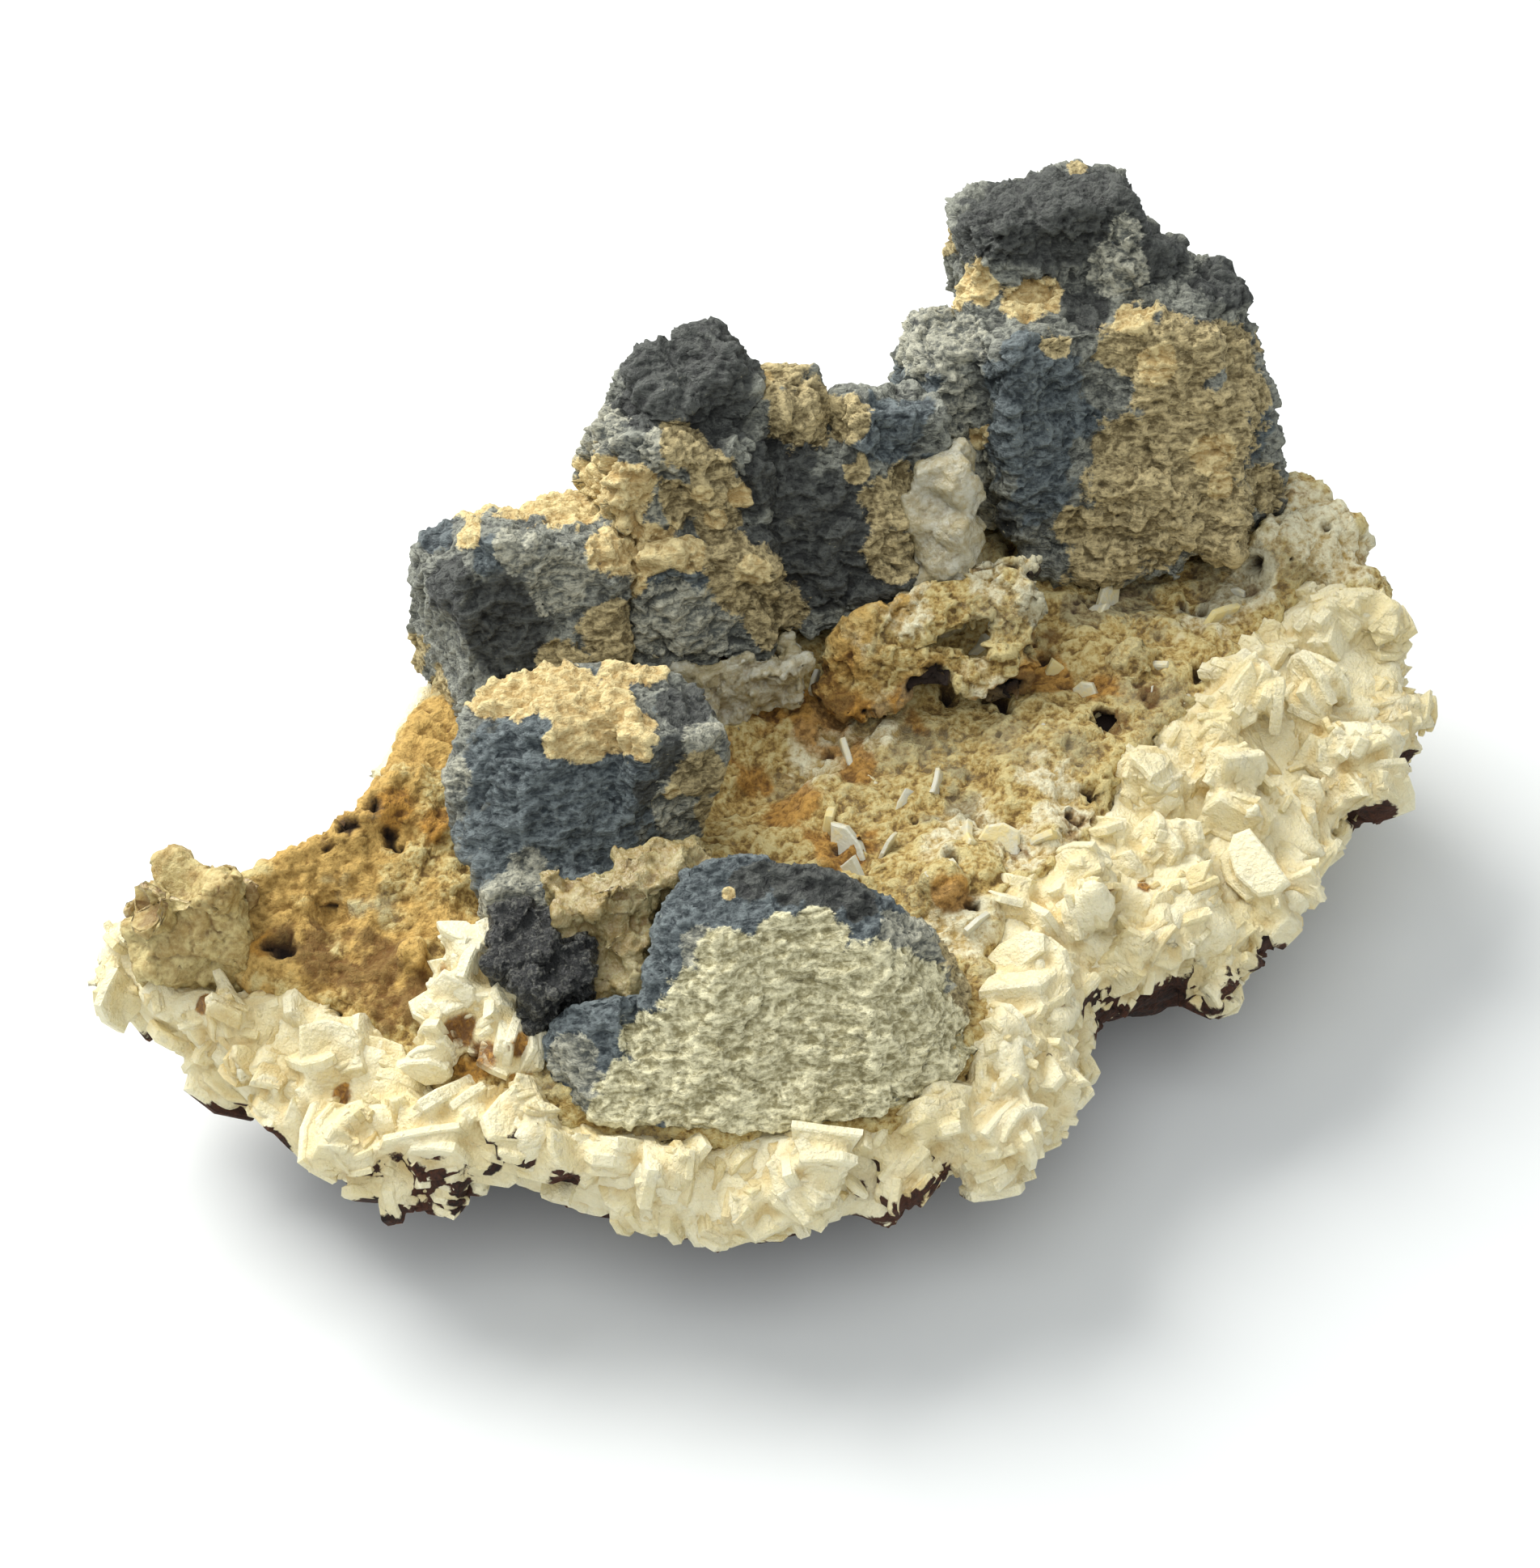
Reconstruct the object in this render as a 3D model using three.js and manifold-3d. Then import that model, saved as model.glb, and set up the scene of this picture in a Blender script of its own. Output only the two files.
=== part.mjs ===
// A hand specimen of galena: dull blue-grey lead-ore crystals standing on a tan crust, which
// fills the top of a shallow bowl of white bladed crystals. Millimetres, +Z up. The origin is
// at the centre of the specimen's outline, on the surface that it rests on; -Y is the front.
import * as THREE from "three";
import { ConvexGeometry } from "three/addons/geometries/ConvexGeometry.js";
import { mergeVertices } from "three/addons/utils/BufferGeometryUtils.js";
import Module from "manifold-3d";

const wasm = await Module();
wasm.setup();

// Driving dimensions
const GAP = 0.35; // clear space between two pieces that touch
const HEART = new THREE.Vector2(0, -12); // where the plate's radial lines meet, in plan
const SPOKES = 44; // radial lines round the plate
const FLAT_SHARE = 0.46; // the part of each radius that rests flat on the table
const CRUST_DEPTH = 4.5; // thickness of the tan crust at its edge
const RIGHT_BLADES = 36; // along the right, where the band is wide
const FRONT_BLADES = 21;
const BACK_BLADES = 5;
const BLADE_LENGTH = 10.4;
const BLADE_WIDTH = 7.6;
const BLADE_THICK = 2;
const SMALL_LUMPS = 11;
const GOLDEN = (Math.sqrt(5) - 1) / 2; // spreads places evenly along a line

// The bowl's rim, counterclockwise: x, y, height of its lower edge, height of its upper edge
const RIM = [
  [-59, -19.5, 14.5, 22], [-53, -24, 13, 20], [-46, -31.5, 12, 18.5], [-40, -35.5, 11, 18],
  [-38, -39, 11, 17.5], [-32, -43, 11, 17], [-28, -42.5, 11, 18], [-24.5, -39, 12, 18.5],
  [-20, -40.5, 11, 18.5], [-14, -43.5, 11, 18.5], [-7, -45.5, 11, 18.5], [0, -46.5, 10.5, 18],
  [5, -44, 11, 18], [11, -42, 11, 18], [19.5, -39, 12, 18.5], [22, -33.5, 12, 19],
  [24.5, -28.5, 12, 19], [28.5, -22.5, 12, 19], [33, -20.5, 12, 19], [38.5, -21.5, 12, 19],
  [43.5, -16.5, 12, 19.5], [47.5, -12, 13, 20], [49, -6.5, 14, 21], [54, -0.5, 14, 22],
  [60, 4, 15, 23], [62.5, 10.5, 17, 25], [60, 18, 19, 28], [58.5, 26.5, 19, 29],
  [53, 33, 18, 29], [44, 40, 16, 28], [32, 44, 15, 28], [20, 40, 14, 27.5],
  [8, 32, 14, 27], [-7, 27, 14, 26.5], [-20, 21, 14, 26], [-31, 13, 14, 26.5],
  [-34, 4, 14, 27], [-35.5, -7, 14, 26], [-39, -13.5, 14, 24.5], [-47, -16, 14.5, 23],
];

// The tan crust's edge in plan, counterclockwise
const CRUST_EDGE = [
  [-51, -20], [-48, -24.5], [-42, -26], [-36, -29], [-30.5, -33.5], [-26, -36], [-19, -39],
  [-11, -41.5], [-3, -42], [3, -41.5], [11, -39.5], [16.5, -36], [19, -32], [18.5, -24],
  [20, -18.5], [26, -15.5], [29, -9], [32, -2.5], [37, 2], [41, 6], [45, 12], [50, 16.5],
  [56, 19.5], [56.5, 26], [51.5, 31.5], [43, 38.5], [32, 42.5], [21, 38.5], [9, 30.5],
  [-7, 25.5], [-19.5, 19.5], [-29.5, 12], [-32.5, 4], [-34, -7], [-37.5, -12.5], [-45, -15],
];

// Repeatable scatter: the fractional part of a large sine, from 0 to 1
function scatter(i, j = 0, k = 0) {
  const s = Math.sin(i * 127.1 + j * 311.7 + k * 74.7) * 43758.5453;
  return s - Math.floor(s);
}

const ease = (t) => t * t * (3 - 2 * t);
const clamp = (v, low, high) => Math.min(high, Math.max(low, v));
const smoothStep = (from, to, v) => ease(clamp((v - from) / (to - from), 0, 1));

// Smooth noise from -1 to 1 over the plan, one cell across for each unit of x and y
function ripple(x, y, seed) {
  const i = Math.floor(x);
  const j = Math.floor(y);
  const u = ease(x - i);
  const v = ease(y - j);
  const near = THREE.MathUtils.lerp(scatter(i, j, seed), scatter(i + 1, j, seed), u);
  const far = THREE.MathUtils.lerp(scatter(i, j + 1, seed), scatter(i + 1, j + 1, seed), u);
  return 2 * THREE.MathUtils.lerp(near, far, v) - 1;
}

// Height of the crust's upper face: a plane that rises to the back, a steeper left wing,
// a hollow under the middle crystals, and lumps
function ground(x, y) {
  const plane = 20 + 0.13 * (y + 42);
  const wing = clamp(20.5 + 0.36 * (y + 30), 18, 28);
  const base = THREE.MathUtils.lerp(plane, wing, smoothStep(-20, -33, x));
  const hollow = 3.5 * Math.exp(-(((x - 1) / 9) ** 2) - ((y + 3) / 4.5) ** 2);
  const lumps = 1.1 * ripple(x / 8, y / 8, 1) + 0.7 * ripple(x / 4, y / 4, 2);
  return base - hollow + lumps;
}

// A closed outline in polar form round HEART: for an angle, the radius and whatever else
// each corner carries, blended along a smooth closed curve through the corners
function polarOutline(corners) {
  const list = corners
    .map(([x, y, ...rest]) => {
      const dx = x - HEART.x;
      const dy = y - HEART.y;
      return { angle: Math.atan2(dy, dx), values: [Math.hypot(dx, dy), ...rest] };
    })
    .sort((a, b) => a.angle - b.angle);
  const at = (n) => {
    const turns = Math.floor(n / list.length);
    const corner = list[n - turns * list.length];
    return { angle: corner.angle + turns * 2 * Math.PI, values: corner.values };
  };
  return (angle) => {
    let n = list.findIndex((c) => c.angle > angle);
    if (n < 0) n = list.length;
    const a = at(n - 1);
    const b = at(n);
    const t = (angle - a.angle) / (b.angle - a.angle);
    return a.values.map((v, m) => THREE.MathUtils.lerp(v, b.values[m], t));
  };
}

const rimAt = polarOutline(RIM);
const crustAt = polarOutline(CRUST_EDGE);
const spokes = Array.from({ length: SPOKES }, (_, n) => -Math.PI + (2 * Math.PI * n) / SPOKES);

const planPoint = (angle, radius) => [
  HEART.x + radius * Math.cos(angle),
  HEART.y + radius * Math.sin(angle),
];

// A closed solid from rings of points that start round a low pole and end round a high one
function ringSolid(lowPole, rings, highPole) {
  const count = rings[0].length;
  const vertices = [lowPole, ...rings.flat(), highPole].flat();
  const faces = [];
  const top = rings.length * count + 1;
  for (let n = 0; n < count; n++) {
    const next = (n + 1) % count;
    faces.push(0, 1 + next, 1 + n);
    for (let r = 0; r < rings.length - 1; r++) {
      const a = 1 + r * count;
      const b = a + count;
      faces.push(a + n, a + next, b + next, a + n, b + next, b + n);
    }
    faces.push(top, top - count + n, top - count + next);
  }
  return new wasm.Manifold(
    new wasm.Mesh({
      numProp: 3,
      vertProperties: new Float32Array(vertices),
      triVerts: new Uint32Array(faces),
    }),
  );
}

function solidOf(geometry) {
  const bare = geometry.clone();
  bare.deleteAttribute("normal");
  bare.deleteAttribute("uv");
  const merged = mergeVertices(bare, 1e-4);
  return new wasm.Manifold(
    new wasm.Mesh({
      numProp: 3,
      vertProperties: new Float32Array(merged.attributes.position.array),
      triVerts: new Uint32Array(merged.index.array),
    }),
  );
}

const join = (solids) => solids.reduce((whole, s) => whole.add(s));
const largestBody = (solid) =>
  solid.decompose().sort((a, b) => b.volume() - a.volume())[0];

// The tan crust; grown outwards it is what its neighbours are cut back by
function crustSolid(grow = 0) {
  const floorDepth = CRUST_DEPTH + grow;
  const edge = spokes.map((a) => crustAt(a)[0] + 0.5 * Math.sin(9 * a) + grow);
  const ring = (share, lift) =>
    spokes.map((a, n) => {
      const [x, y] = planPoint(a, edge[n] * share);
      return [x, y, ground(x, y) + lift];
    });
  const centre = ground(HEART.x, HEART.y);
  return ringSolid(
    [HEART.x, HEART.y, centre - floorDepth],
    [
      ring(0.96, -floorDepth),
      ring(1, -floorDepth * 0.3),
      ...[0.96, 0.8, 0.64, 0.46, 0.24].map((share) => ring(share, grow)),
    ],
    [HEART.x, HEART.y, centre + grow],
  );
}

// Lumps that the crust is heaped into at the back right: x, y, z, radius
const BACK_LUMPS = [
  [54, 25.5, 27.6, 4.8], [49, 23.4, 28.4, 4.4], [57, 20.5, 26, 3.8], [51.5, 30, 28.6, 4],
];
// Holes that open in the crust: x, y, radius
const HOLES = [[40, 14.5, 2], [21, -14, 1.8], [30.7, 2, 1.7], [-38, -20, 2.1], [-27, -9, 1.8]];

const ball = (x, y, z, radius, detail) =>
  solidOf(new THREE.IcosahedronGeometry(radius, detail).rotateZ(x).rotateX(y).translate(x, y, z));

// Small lumps spread evenly over the crust, from its middle outwards
function smallLumps(grow) {
  return Array.from({ length: SMALL_LUMPS }, (_, n) => {
    const angle = 2 * Math.PI * n * GOLDEN;
    const share = 0.12 + 0.72 * Math.sqrt((n + 0.5) / SMALL_LUMPS);
    const [x, y] = planPoint(angle, crustAt(Math.atan2(Math.sin(angle), Math.cos(angle)))[0] * share);
    return ball(x, y, ground(x, y) - 0.5, 1.7 + 1.3 * scatter(n, 8) + 1.3 * grow, 0);
  });
}

function lumpyCrust(grow = 0) {
  const lumps = BACK_LUMPS.map(([x, y, z, radius]) => ball(x, y, z, radius + grow, 1));
  const heaped = join([crustSolid(grow), ...lumps, ...smallLumps(grow)]);
  if (grow) return heaped;
  return HOLES.reduce(
    (rest, [x, y, radius]) => rest.subtract(ball(x, y, ground(x, y), radius, 0)),
    heaped,
  );
}

// The bowl under the crust: flat where it rests, rising to the rim, then in over the band
// of blades to the crust's edge and a little way under it
function bowlSolid() {
  const underside = (share) => {
    const t = clamp((share - FLAT_SHARE) / (1 - FLAT_SHARE), 0, 1);
    return t ** 1.35;
  };
  const lower = (share) =>
    spokes.map((a) => {
      const [radius, low] = rimAt(a);
      const [x, y] = planPoint(a, radius * share);
      const rough = share > FLAT_SHARE ? 0.9 * ripple(x / 6, y / 6, 3) : 0;
      return [x, y, Math.max(0, low * underside(share) + rough * underside(share))];
    });
  const upper = (share) =>
    spokes.map((a) => {
      const [radius, , high] = rimAt(a);
      const inner = Math.min(crustAt(a)[0] * 0.97, radius - 2.2);
      const r = THREE.MathUtils.lerp(radius - 1, inner, share);
      const [x, y] = planPoint(a, r);
      const z = THREE.MathUtils.lerp(high - 1, ground(x, y) - 0.6, share);
      return [x, y, z + 0.8 * ripple(x / 3, y / 3, 4) * (1 - share)];
    });
  const waist = spokes.map((a) => {
    const [radius, low, high] = rimAt(a);
    const [x, y] = planPoint(a, radius + 0.4 + 0.7 * ripple(a * 9, 0, 5));
    return [x, y, (low + high) / 2];
  });
  const under = spokes.map((a) => {
    const [x, y] = planPoint(a, crustAt(a)[0] * 0.6);
    return [x, y, ground(x, y) - CRUST_DEPTH - GAP];
  });
  return ringSolid(
    [HEART.x, HEART.y, 0],
    [
      ...[FLAT_SHARE, 0.62, 0.82, 1].map(lower),
      waist,
      upper(0),
      upper(1),
      under,
    ],
    [HEART.x, HEART.y, ground(HEART.x, HEART.y) - CRUST_DEPTH - GAP],
  );
}

// A convex body round the given corners; a clearance moves each of its faces outwards
function hull(corners, grow = 0) {
  const body = new ConvexGeometry(corners.map((corner) => new THREE.Vector3(...corner)));
  if (grow === 0) return solidOf(body);
  body.deleteAttribute("normal");
  const geometry = mergeVertices(body, 1e-4);
  const position = geometry.attributes.position;
  const index = geometry.index.array;
  const normals = Array.from({ length: position.count }, () => []);
  const face = new THREE.Triangle();
  for (let n = 0; n < index.length; n += 3) {
    face.setFromAttributeAndIndices(position, index[n], index[n + 1], index[n + 2]);
    const normal = face.getNormal(new THREE.Vector3());
    for (let k = 0; k < 3; k++) normals[index[n + k]].push(normal);
  }
  normals.forEach((around, n) => {
    const outwards = around.reduce((sum, v) => sum.add(v), new THREE.Vector3()).normalize();
    const least = Math.max(0.35, Math.min(...around.map((v) => v.dot(outwards))));
    outwards.multiplyScalar(grow / least).add(new THREE.Vector3().fromBufferAttribute(position, n));
    position.setXYZ(n, ...outwards.toArray());
  });
  return solidOf(geometry);
}

const turned = (degrees) =>
  new THREE.Euler(...degrees.map(THREE.MathUtils.degToRad), "ZYX");

// One blade: a four-sided plate with slanted edges, its long axis along X, its face along Z
function blade({ at, along, face, length, width, thick }, grow = 0) {
  const outline = [[0.5, 0.05], [-0.08, 0.5], [-0.5, -0.1], [0.12, -0.5]];
  const xAxis = along.clone().normalize();
  const zAxis = face.clone().addScaledVector(xAxis, -face.dot(xAxis)).normalize();
  const yAxis = new THREE.Vector3().crossVectors(zAxis, xAxis);
  const place = new THREE.Matrix4().makeBasis(xAxis, yAxis, zAxis).setPosition(at);
  const corners = outline.flatMap(([x, y]) =>
    [[-0.5, 1], [0.5, 0.8]].map(([side, share]) =>
      new THREE.Vector3(x * length * share, y * width * share, side * thick)
        .applyMatrix4(place)
        .toArray(),
    ),
  );
  return hull(corners, grow);
}

// Blades along a stretch of the rim: some on the band between the crust and the rim, and
// some down the rim's side
function bladesAlong(stretch, count, seed) {
  const walk = new THREE.CatmullRomCurve3(stretch.map(([x, y]) => new THREE.Vector3(x, y, 0)));
  return Array.from({ length: count }, (_, n) => {
    const pick = (k) => scatter(n, k, seed);
    const step = walk.getPointAt((n + 0.6 * pick(1)) / count);
    const angle = Math.atan2(step.y - HEART.y, step.x - HEART.x);
    const [radius, low, high] = rimAt(angle);
    const crust = Math.min(crustAt(angle)[0], radius - 2);
    const sideShare = clamp(8 / (8 + radius - crust), 0.3, 0.75);
    const down = (n * GOLDEN) % 1;
    const onSide = down < sideShare;
    const t = onSide ? down / sideShare : (down - sideShare) / (1 - sideShare);
    const r = onSide ? radius - 1.4 : THREE.MathUtils.lerp(crust + 1, radius - 1.5, t);
    const [x, y] = planPoint(angle, r);
    const z = onSide
      ? THREE.MathUtils.lerp(low + 2, high - 1, t)
      : THREE.MathUtils.lerp(ground(x, y) - 0.8, high - 1, t);
    const out = new THREE.Vector3(Math.cos(angle), Math.sin(angle), onSide ? 0.4 : 1.6);
    const turn = new THREE.Vector3(pick(2) - 0.5, pick(3) - 0.5, pick(4) - 0.5);
    const size = 0.7 + 0.55 * pick(5);
    return blade({
      at: new THREE.Vector3(x, y, z),
      along: new THREE.Vector3(-out.y, out.x, 0).multiplyScalar(pick(7) < 0.5 ? 1 : -1)
        .add(out.normalize().multiplyScalar(0.8)).addScaledVector(turn, 1.3),
      face: new THREE.Vector3(turn.y, -turn.z, turn.x).addScaledVector(out, 0.6),
      length: BLADE_LENGTH * size,
      width: BLADE_WIDTH * size,
      thick: BLADE_THICK * (0.8 + 0.5 * pick(6)),
    });
  });
}

// A block of galena: a cube with its upper corners cut, as lead ore grows, stretched and turned
function block({ at, half, turn = [0, 0, 0], cut = 0.45 }, grow = 0) {
  const place = new THREE.Matrix4()
    .makeRotationFromEuler(turned(turn))
    .setPosition(...at);
  const corners = [];
  for (const sx of [-1, 1])
    for (const sy of [-1, 1])
      for (const sz of [-1, 1])
        for (const axis of [0, 1, 2]) {
          const corner = [sx * half[0], sy * half[1], sz * half[2]];
          if (sz > 0) corner[axis] *= 1 - cut * (0.6 + 0.8 * scatter(at[0] + sx, at[1] + sy, axis));
          corners.push(new THREE.Vector3(...corner).applyMatrix4(place).toArray());
        }
  return hull(corners, grow);
}

// A thin plate through the given corners, which are its front; it is thick behind them
function plate(corners, thick, grow = 0) {
  const behind = corners.map(([x, y, z]) => [x, y + 0.8 * thick, z - 0.6 * thick]);
  return hull([...corners, ...behind], grow);
}

const piled = (blocks, hulls = []) => (grow) =>
  join([...blocks.map((b) => block(b, grow)), ...hulls.map((h) => hull(h, grow))]);

// The front crystal: a broad pale face that leans back to a blue ridge, and a step at its left
const frontGalena = piled(
  [],
  [
    [
      [-12.5, -41.5, 20], [-3.4, -42.4, 20], [7, -41.6, 20], [16, -37.5, 20.5], [18, -32, 21],
      [-6.6, -32.3, 31.5], [-3.4, -30.1, 33], [3.1, -29.9, 33.5], [9, -31, 31.5],
      [-9.1, -29.7, 33], [-6.9, -26.1, 34.8], [-3.4, -25, 35.4], [3.8, -26, 34.6],
      [9.7, -27, 32.5], [12.8, -27.4, 29.5], [-9, -21, 22], [8, -20, 22], [16, -25, 22],
    ],
    [
      [-18.6, -37.8, 19.5], [-12.5, -41.8, 19.5], [-18.9, -35.5, 24], [-17.2, -34, 26.6],
      [-11.8, -34.6, 28.6], [-16.5, -36.9, 25], [-17.5, -31, 21], [-8, -29, 22],
    ],
  ],
);

// The left crystal: a broad blue face under a flat top, tapering down to the left wing
const leftGalena = piled(
  [{ at: [-11, -10, 32], half: [4.6, 5.6, 6], turn: [0, 15, 30] }],
  [
    [
      [-26.6, -10, 36.8], [-23.4, -5.4, 37.4], [-14, -4.6, 38.2], [-9.6, -8, 37],
      [-11, -12.5, 38], [-20, -13, 38.4], [-27.6, -13.5, 33.4], [-26.4, -18.5, 28.5],
      [-21, -21.5, 26], [-12, -19.5, 27], [-8.4, -14.5, 30.5], [-26.4, -5, 24], [-10.5, -3, 24],
    ],
    [
      [-25.5, -18, 29.5], [-13.5, -20, 28.5], [-22.5, -27, 26], [-17.5, -27.6, 25.5],
      [-24, -23.5, 22], [-14.5, -24.5, 22], [-22, -14, 24],
    ],
  ],
);

const roundGalena = piled([
  { at: [-21.3, 8, 34], half: [7.8, 6.4, 8], turn: [-26, 6, 10], cut: 0.62 },
  { at: [-26.4, 9.5, 32.6], half: [5.6, 6, 7.4], turn: [-10, 6, 30], cut: 0.6 },
  { at: [-17, 14.6, 34.6], half: [5.4, 5.6, 5.4], turn: [0, 10, 20], cut: 0.6 },
]);

// The middle cluster: a squared block at its right, and a ragged black peak at its left
const middleGalena = piled(
  [
    { at: [-9, 16.4, 40], half: [7.2, 6.2, 9], turn: [-8, 10, 14], cut: 0.5 },
    { at: [-7.4, 20.6, 48.6], half: [4.8, 4, 5], turn: [14, -8, 30] },
    { at: [-11, 20.6, 46], half: [3.4, 4, 4.4], turn: [10, -20, 10] },
    { at: [0.6, 21, 46.6], half: [3.4, 3, 3.2], turn: [10, 0, 10], cut: 0.55 },
    { at: [-7.4, 11, 34], half: [7.2, 5, 6], turn: [-14, 0, 12], cut: 0.5 },
    { at: [10.6, 21, 43.6], half: [4.6, 4, 4.6], turn: [-10, 10, 24], cut: 0.5 },
  ],
  [
    [
      [-5, 9.2, 31], [5, 9, 29.6], [12.4, 10.6, 31.6], [12.2, 13.6, 40], [10, 15.4, 44.4],
      [0, 16.6, 45.4], [-3, 15.6, 44], [-6.4, 12.6, 38], [-6, 23, 29], [13.6, 22, 29],
      [13, 23, 44], [0, 23, 45.6],
    ],
  ],
);

// The tower: crystals stacked at the back right, with a rough bulge that faces the front
const towerGalena = piled([
  { at: [26.6, 40, 50.6], half: [8.4, 6.2, 8], turn: [-10, -8, 12], cut: 0.55 },
  { at: [33, 38.6, 49], half: [5.4, 5.4, 6.4], turn: [-10, 14, 24], cut: 0.5 },
  { at: [17.2, 30.6, 41.4], half: [5.2, 5.8, 7.4], turn: [-8, 12, 12], cut: 0.55 },
  { at: [25, 28.4, 41.6], half: [5.4, 5.4, 9.6], turn: [-14, 0, 24], cut: 0.28 },
  { at: [40, 36.4, 45.6], half: [5, 5.4, 5.8], turn: [-6, 10, 20], cut: 0.5 },
  { at: [37, 29.6, 38.6], half: [8.8, 6.8, 10], turn: [-22, 0, -6], cut: 0.6 },
  { at: [42, 30.6, 36.6], half: [5.2, 5.4, 8.4], turn: [-16, 0, 12], cut: 0.6 },
  { at: [33, 25, 33], half: [7.8, 5.4, 5.6], turn: [-14, 0, -8], cut: 0.55 },
  { at: [45, 33, 36.6], half: [3.4, 5.8, 9.6], turn: [-8, -10, 10], cut: 0.45 },
  { at: [31, 35, 40], half: [12.6, 7.6, 11.6], cut: 0.5 },
]);

// A ledge of crust with a slot and a low cave, bridging a hollow right of the middle cluster
const LEDGE_THICK = 2.2;
const LEDGE_PLATES = [
  [[4, 4.4, 26], [5.6, 6.6, 31], [8.3, 7.4, 33.6], [13.4, 6.8, 33], [14, 3.6, 28.2], [8, 2.4, 25.6]],
  [
    [8.3, 7.4, 33.6], [12.4, 9.6, 35], [18.4, 11.6, 36.6], [25, 12, 37], [24.6, 9.4, 35],
    [21.7, 8, 33.8], [16.8, 6.8, 33.2], [12.4, 5.8, 32],
  ],
  [[11.7, 5.2, 31.4], [16.8, 5.4, 31], [22, 5.4, 31], [22, 3.6, 28], [16.8, 3.6, 29], [12.4, 4, 28.6]],
  [[21, 8.8, 35], [24.6, 8.6, 34.4], [23.6, 4, 26.5], [20.2, 3.6, 26.5], [20.4, 6, 31]],
];
const ledge = (grow) => join(LEDGE_PLATES.map((corners) => plate(corners, LEDGE_THICK, grow)));

// A shard of clear or stained crystal: a skewed, eight-cornered lump
function shard([x, y, z, size], grow = 0) {
  const corners = [];
  for (const sx of [-1, 1])
    for (const sy of [-1, 1])
      for (const sz of [-1, 1]) {
        const reach = (k) => size * (0.62 + 0.5 * scatter(x + 3 * sx, y + 5 * sy, 7 * sz + k));
        corners.push([x + sx * reach(1), y + sy * reach(2), z + 1.2 * sz * reach(3)]);
      }
  return hull(corners, grow);
}

const heap = (places) => (grow) => join(places.map((place) => shard(place, grow)));

// Each shard: x, y, z, half its width
const quartz = heap([[15.2, 17.8, 41.4, 2.8], [15.6, 15.2, 37, 3.1], [15.6, 13.6, 32.6, 2.9]]);
const honey = heap([
  [-14.6, -24.8, 26.6, 3.4], [-10.2, -23, 27, 3.6], [-10.4, -27, 24.6, 3], [-13.2, -29.4, 23.6, 2.6],
]);
const blackLump = heap([[-20, -28.6, 25.4, 3.1], [-17.4, -31, 24.2, 3]]);
const knob = heap([
  [-50.2, -21.8, 25.8, 3.7], [-46.8, -20.6, 27, 2.6], [-53.4, -21, 22.4, 3.4], [-48.4, -23, 22.6, 3],
]);
const grains = heap([
  [-12.2, 6.6, 29.4, 2.6], [-8.2, 5.8, 28.4, 2.6], [-4.2, 5.4, 28, 2.8], [0, 6, 28.2, 2.8],
]);

// White blades standing in a fan between the left wing and the dark crystals
const spray = (grow) =>
  join(
    [
      [-24.4, -26.6, 24.6, 20, 9, 7], [-26.4, -30.2, 22.4, 60, 8, 6], [-23.4, -31.2, 22.4, -10, 8, 6],
      [-27, -33, 20.6, 80, 7, 6], [-22.6, -34, 21, -40, 8, 6],
    ].map(([x, y, z, yaw, length, width]) => {
      const a = THREE.MathUtils.degToRad(yaw);
      return blade(
        {
          at: new THREE.Vector3(x, y, z),
          along: new THREE.Vector3(Math.cos(a), 0.3 * Math.sin(a), 0.9),
          face: new THREE.Vector3(Math.sin(a), -Math.cos(a), 0.4),
          length,
          width,
          thick: BLADE_THICK,
        },
        grow,
      );
    }),
  );

// Blades all round the rim, most of them at the right
function allBlades() {
  const isBack = ([x, y]) => y > 0.4 * x + 12 || (y > -17 && x < 0);
  const isRight = (corner) => !isBack(corner) && corner[0] > 18;
  const isFront = (corner) => !isBack(corner) && corner[0] < 20;
  return [
    ...bladesAlong(RIM.filter(isRight), RIGHT_BLADES, 1),
    ...bladesAlong(RIM.filter(isFront), FRONT_BLADES, 2),
    ...bladesAlong(RIM.filter(isBack), BACK_BLADES, 3),
  ];
}

const bladedBowl = () => join([bowlSolid(), ...allBlades()]);

// Every piece, in the order in which each is cut back by those before it
const PIECES = [
  ["tan_crust", lumpyCrust, "#b79a64", 0.95],
  ["galena_front_crystal", frontGalena, "#4f5b66", 0.6],
  ["galena_left_crystal", leftGalena, "#3d4a5c", 0.6],
  ["galena_round_crystal", roundGalena, "#55595a", 0.7],
  ["galena_middle_cluster", middleGalena, "#474c50", 0.7],
  ["galena_tower_cluster", towerGalena, "#4a525a", 0.7],
  ["quartz_crystals", quartz, "#b9b6a2", 0.3],
  ["honey_calcite", honey, "#c9b07c", 0.4],
  ["black_crystal_lump", blackLump, "#2b2d30", 0.5],
  ["left_knob", knob, "#c4ab7a", 0.6],
  ["clear_grains", grains, "#a89f86", 0.3],
  ["crust_ledge", ledge, "#bf9a5c", 0.8],
  ["white_spray", spray, "#ece3cf", 0.5],
  ["white_bladed_bed", bladedBowl, "#e8dfc8", 0.5],
];

const group = new THREE.Group();

function addPiece(name, solid, colour, roughness) {
  const { vertProperties, triVerts, numProp } = solid.getMesh();
  const position = new Float32Array((vertProperties.length / numProp) * 3);
  for (let n = 0; n < position.length / 3; n++)
    position.set(vertProperties.subarray(n * numProp, n * numProp + 3), n * 3);
  const geometry = new THREE.BufferGeometry()
    .setAttribute("position", new THREE.BufferAttribute(position, 3))
    .setIndex(new THREE.BufferAttribute(triVerts, 1));
  const material = new THREE.MeshStandardMaterial({ color: colour, roughness, metalness: 0 });
  const mesh = new THREE.Mesh(geometry, material);
  mesh.name = name;
  group.add(mesh);
}

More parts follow.
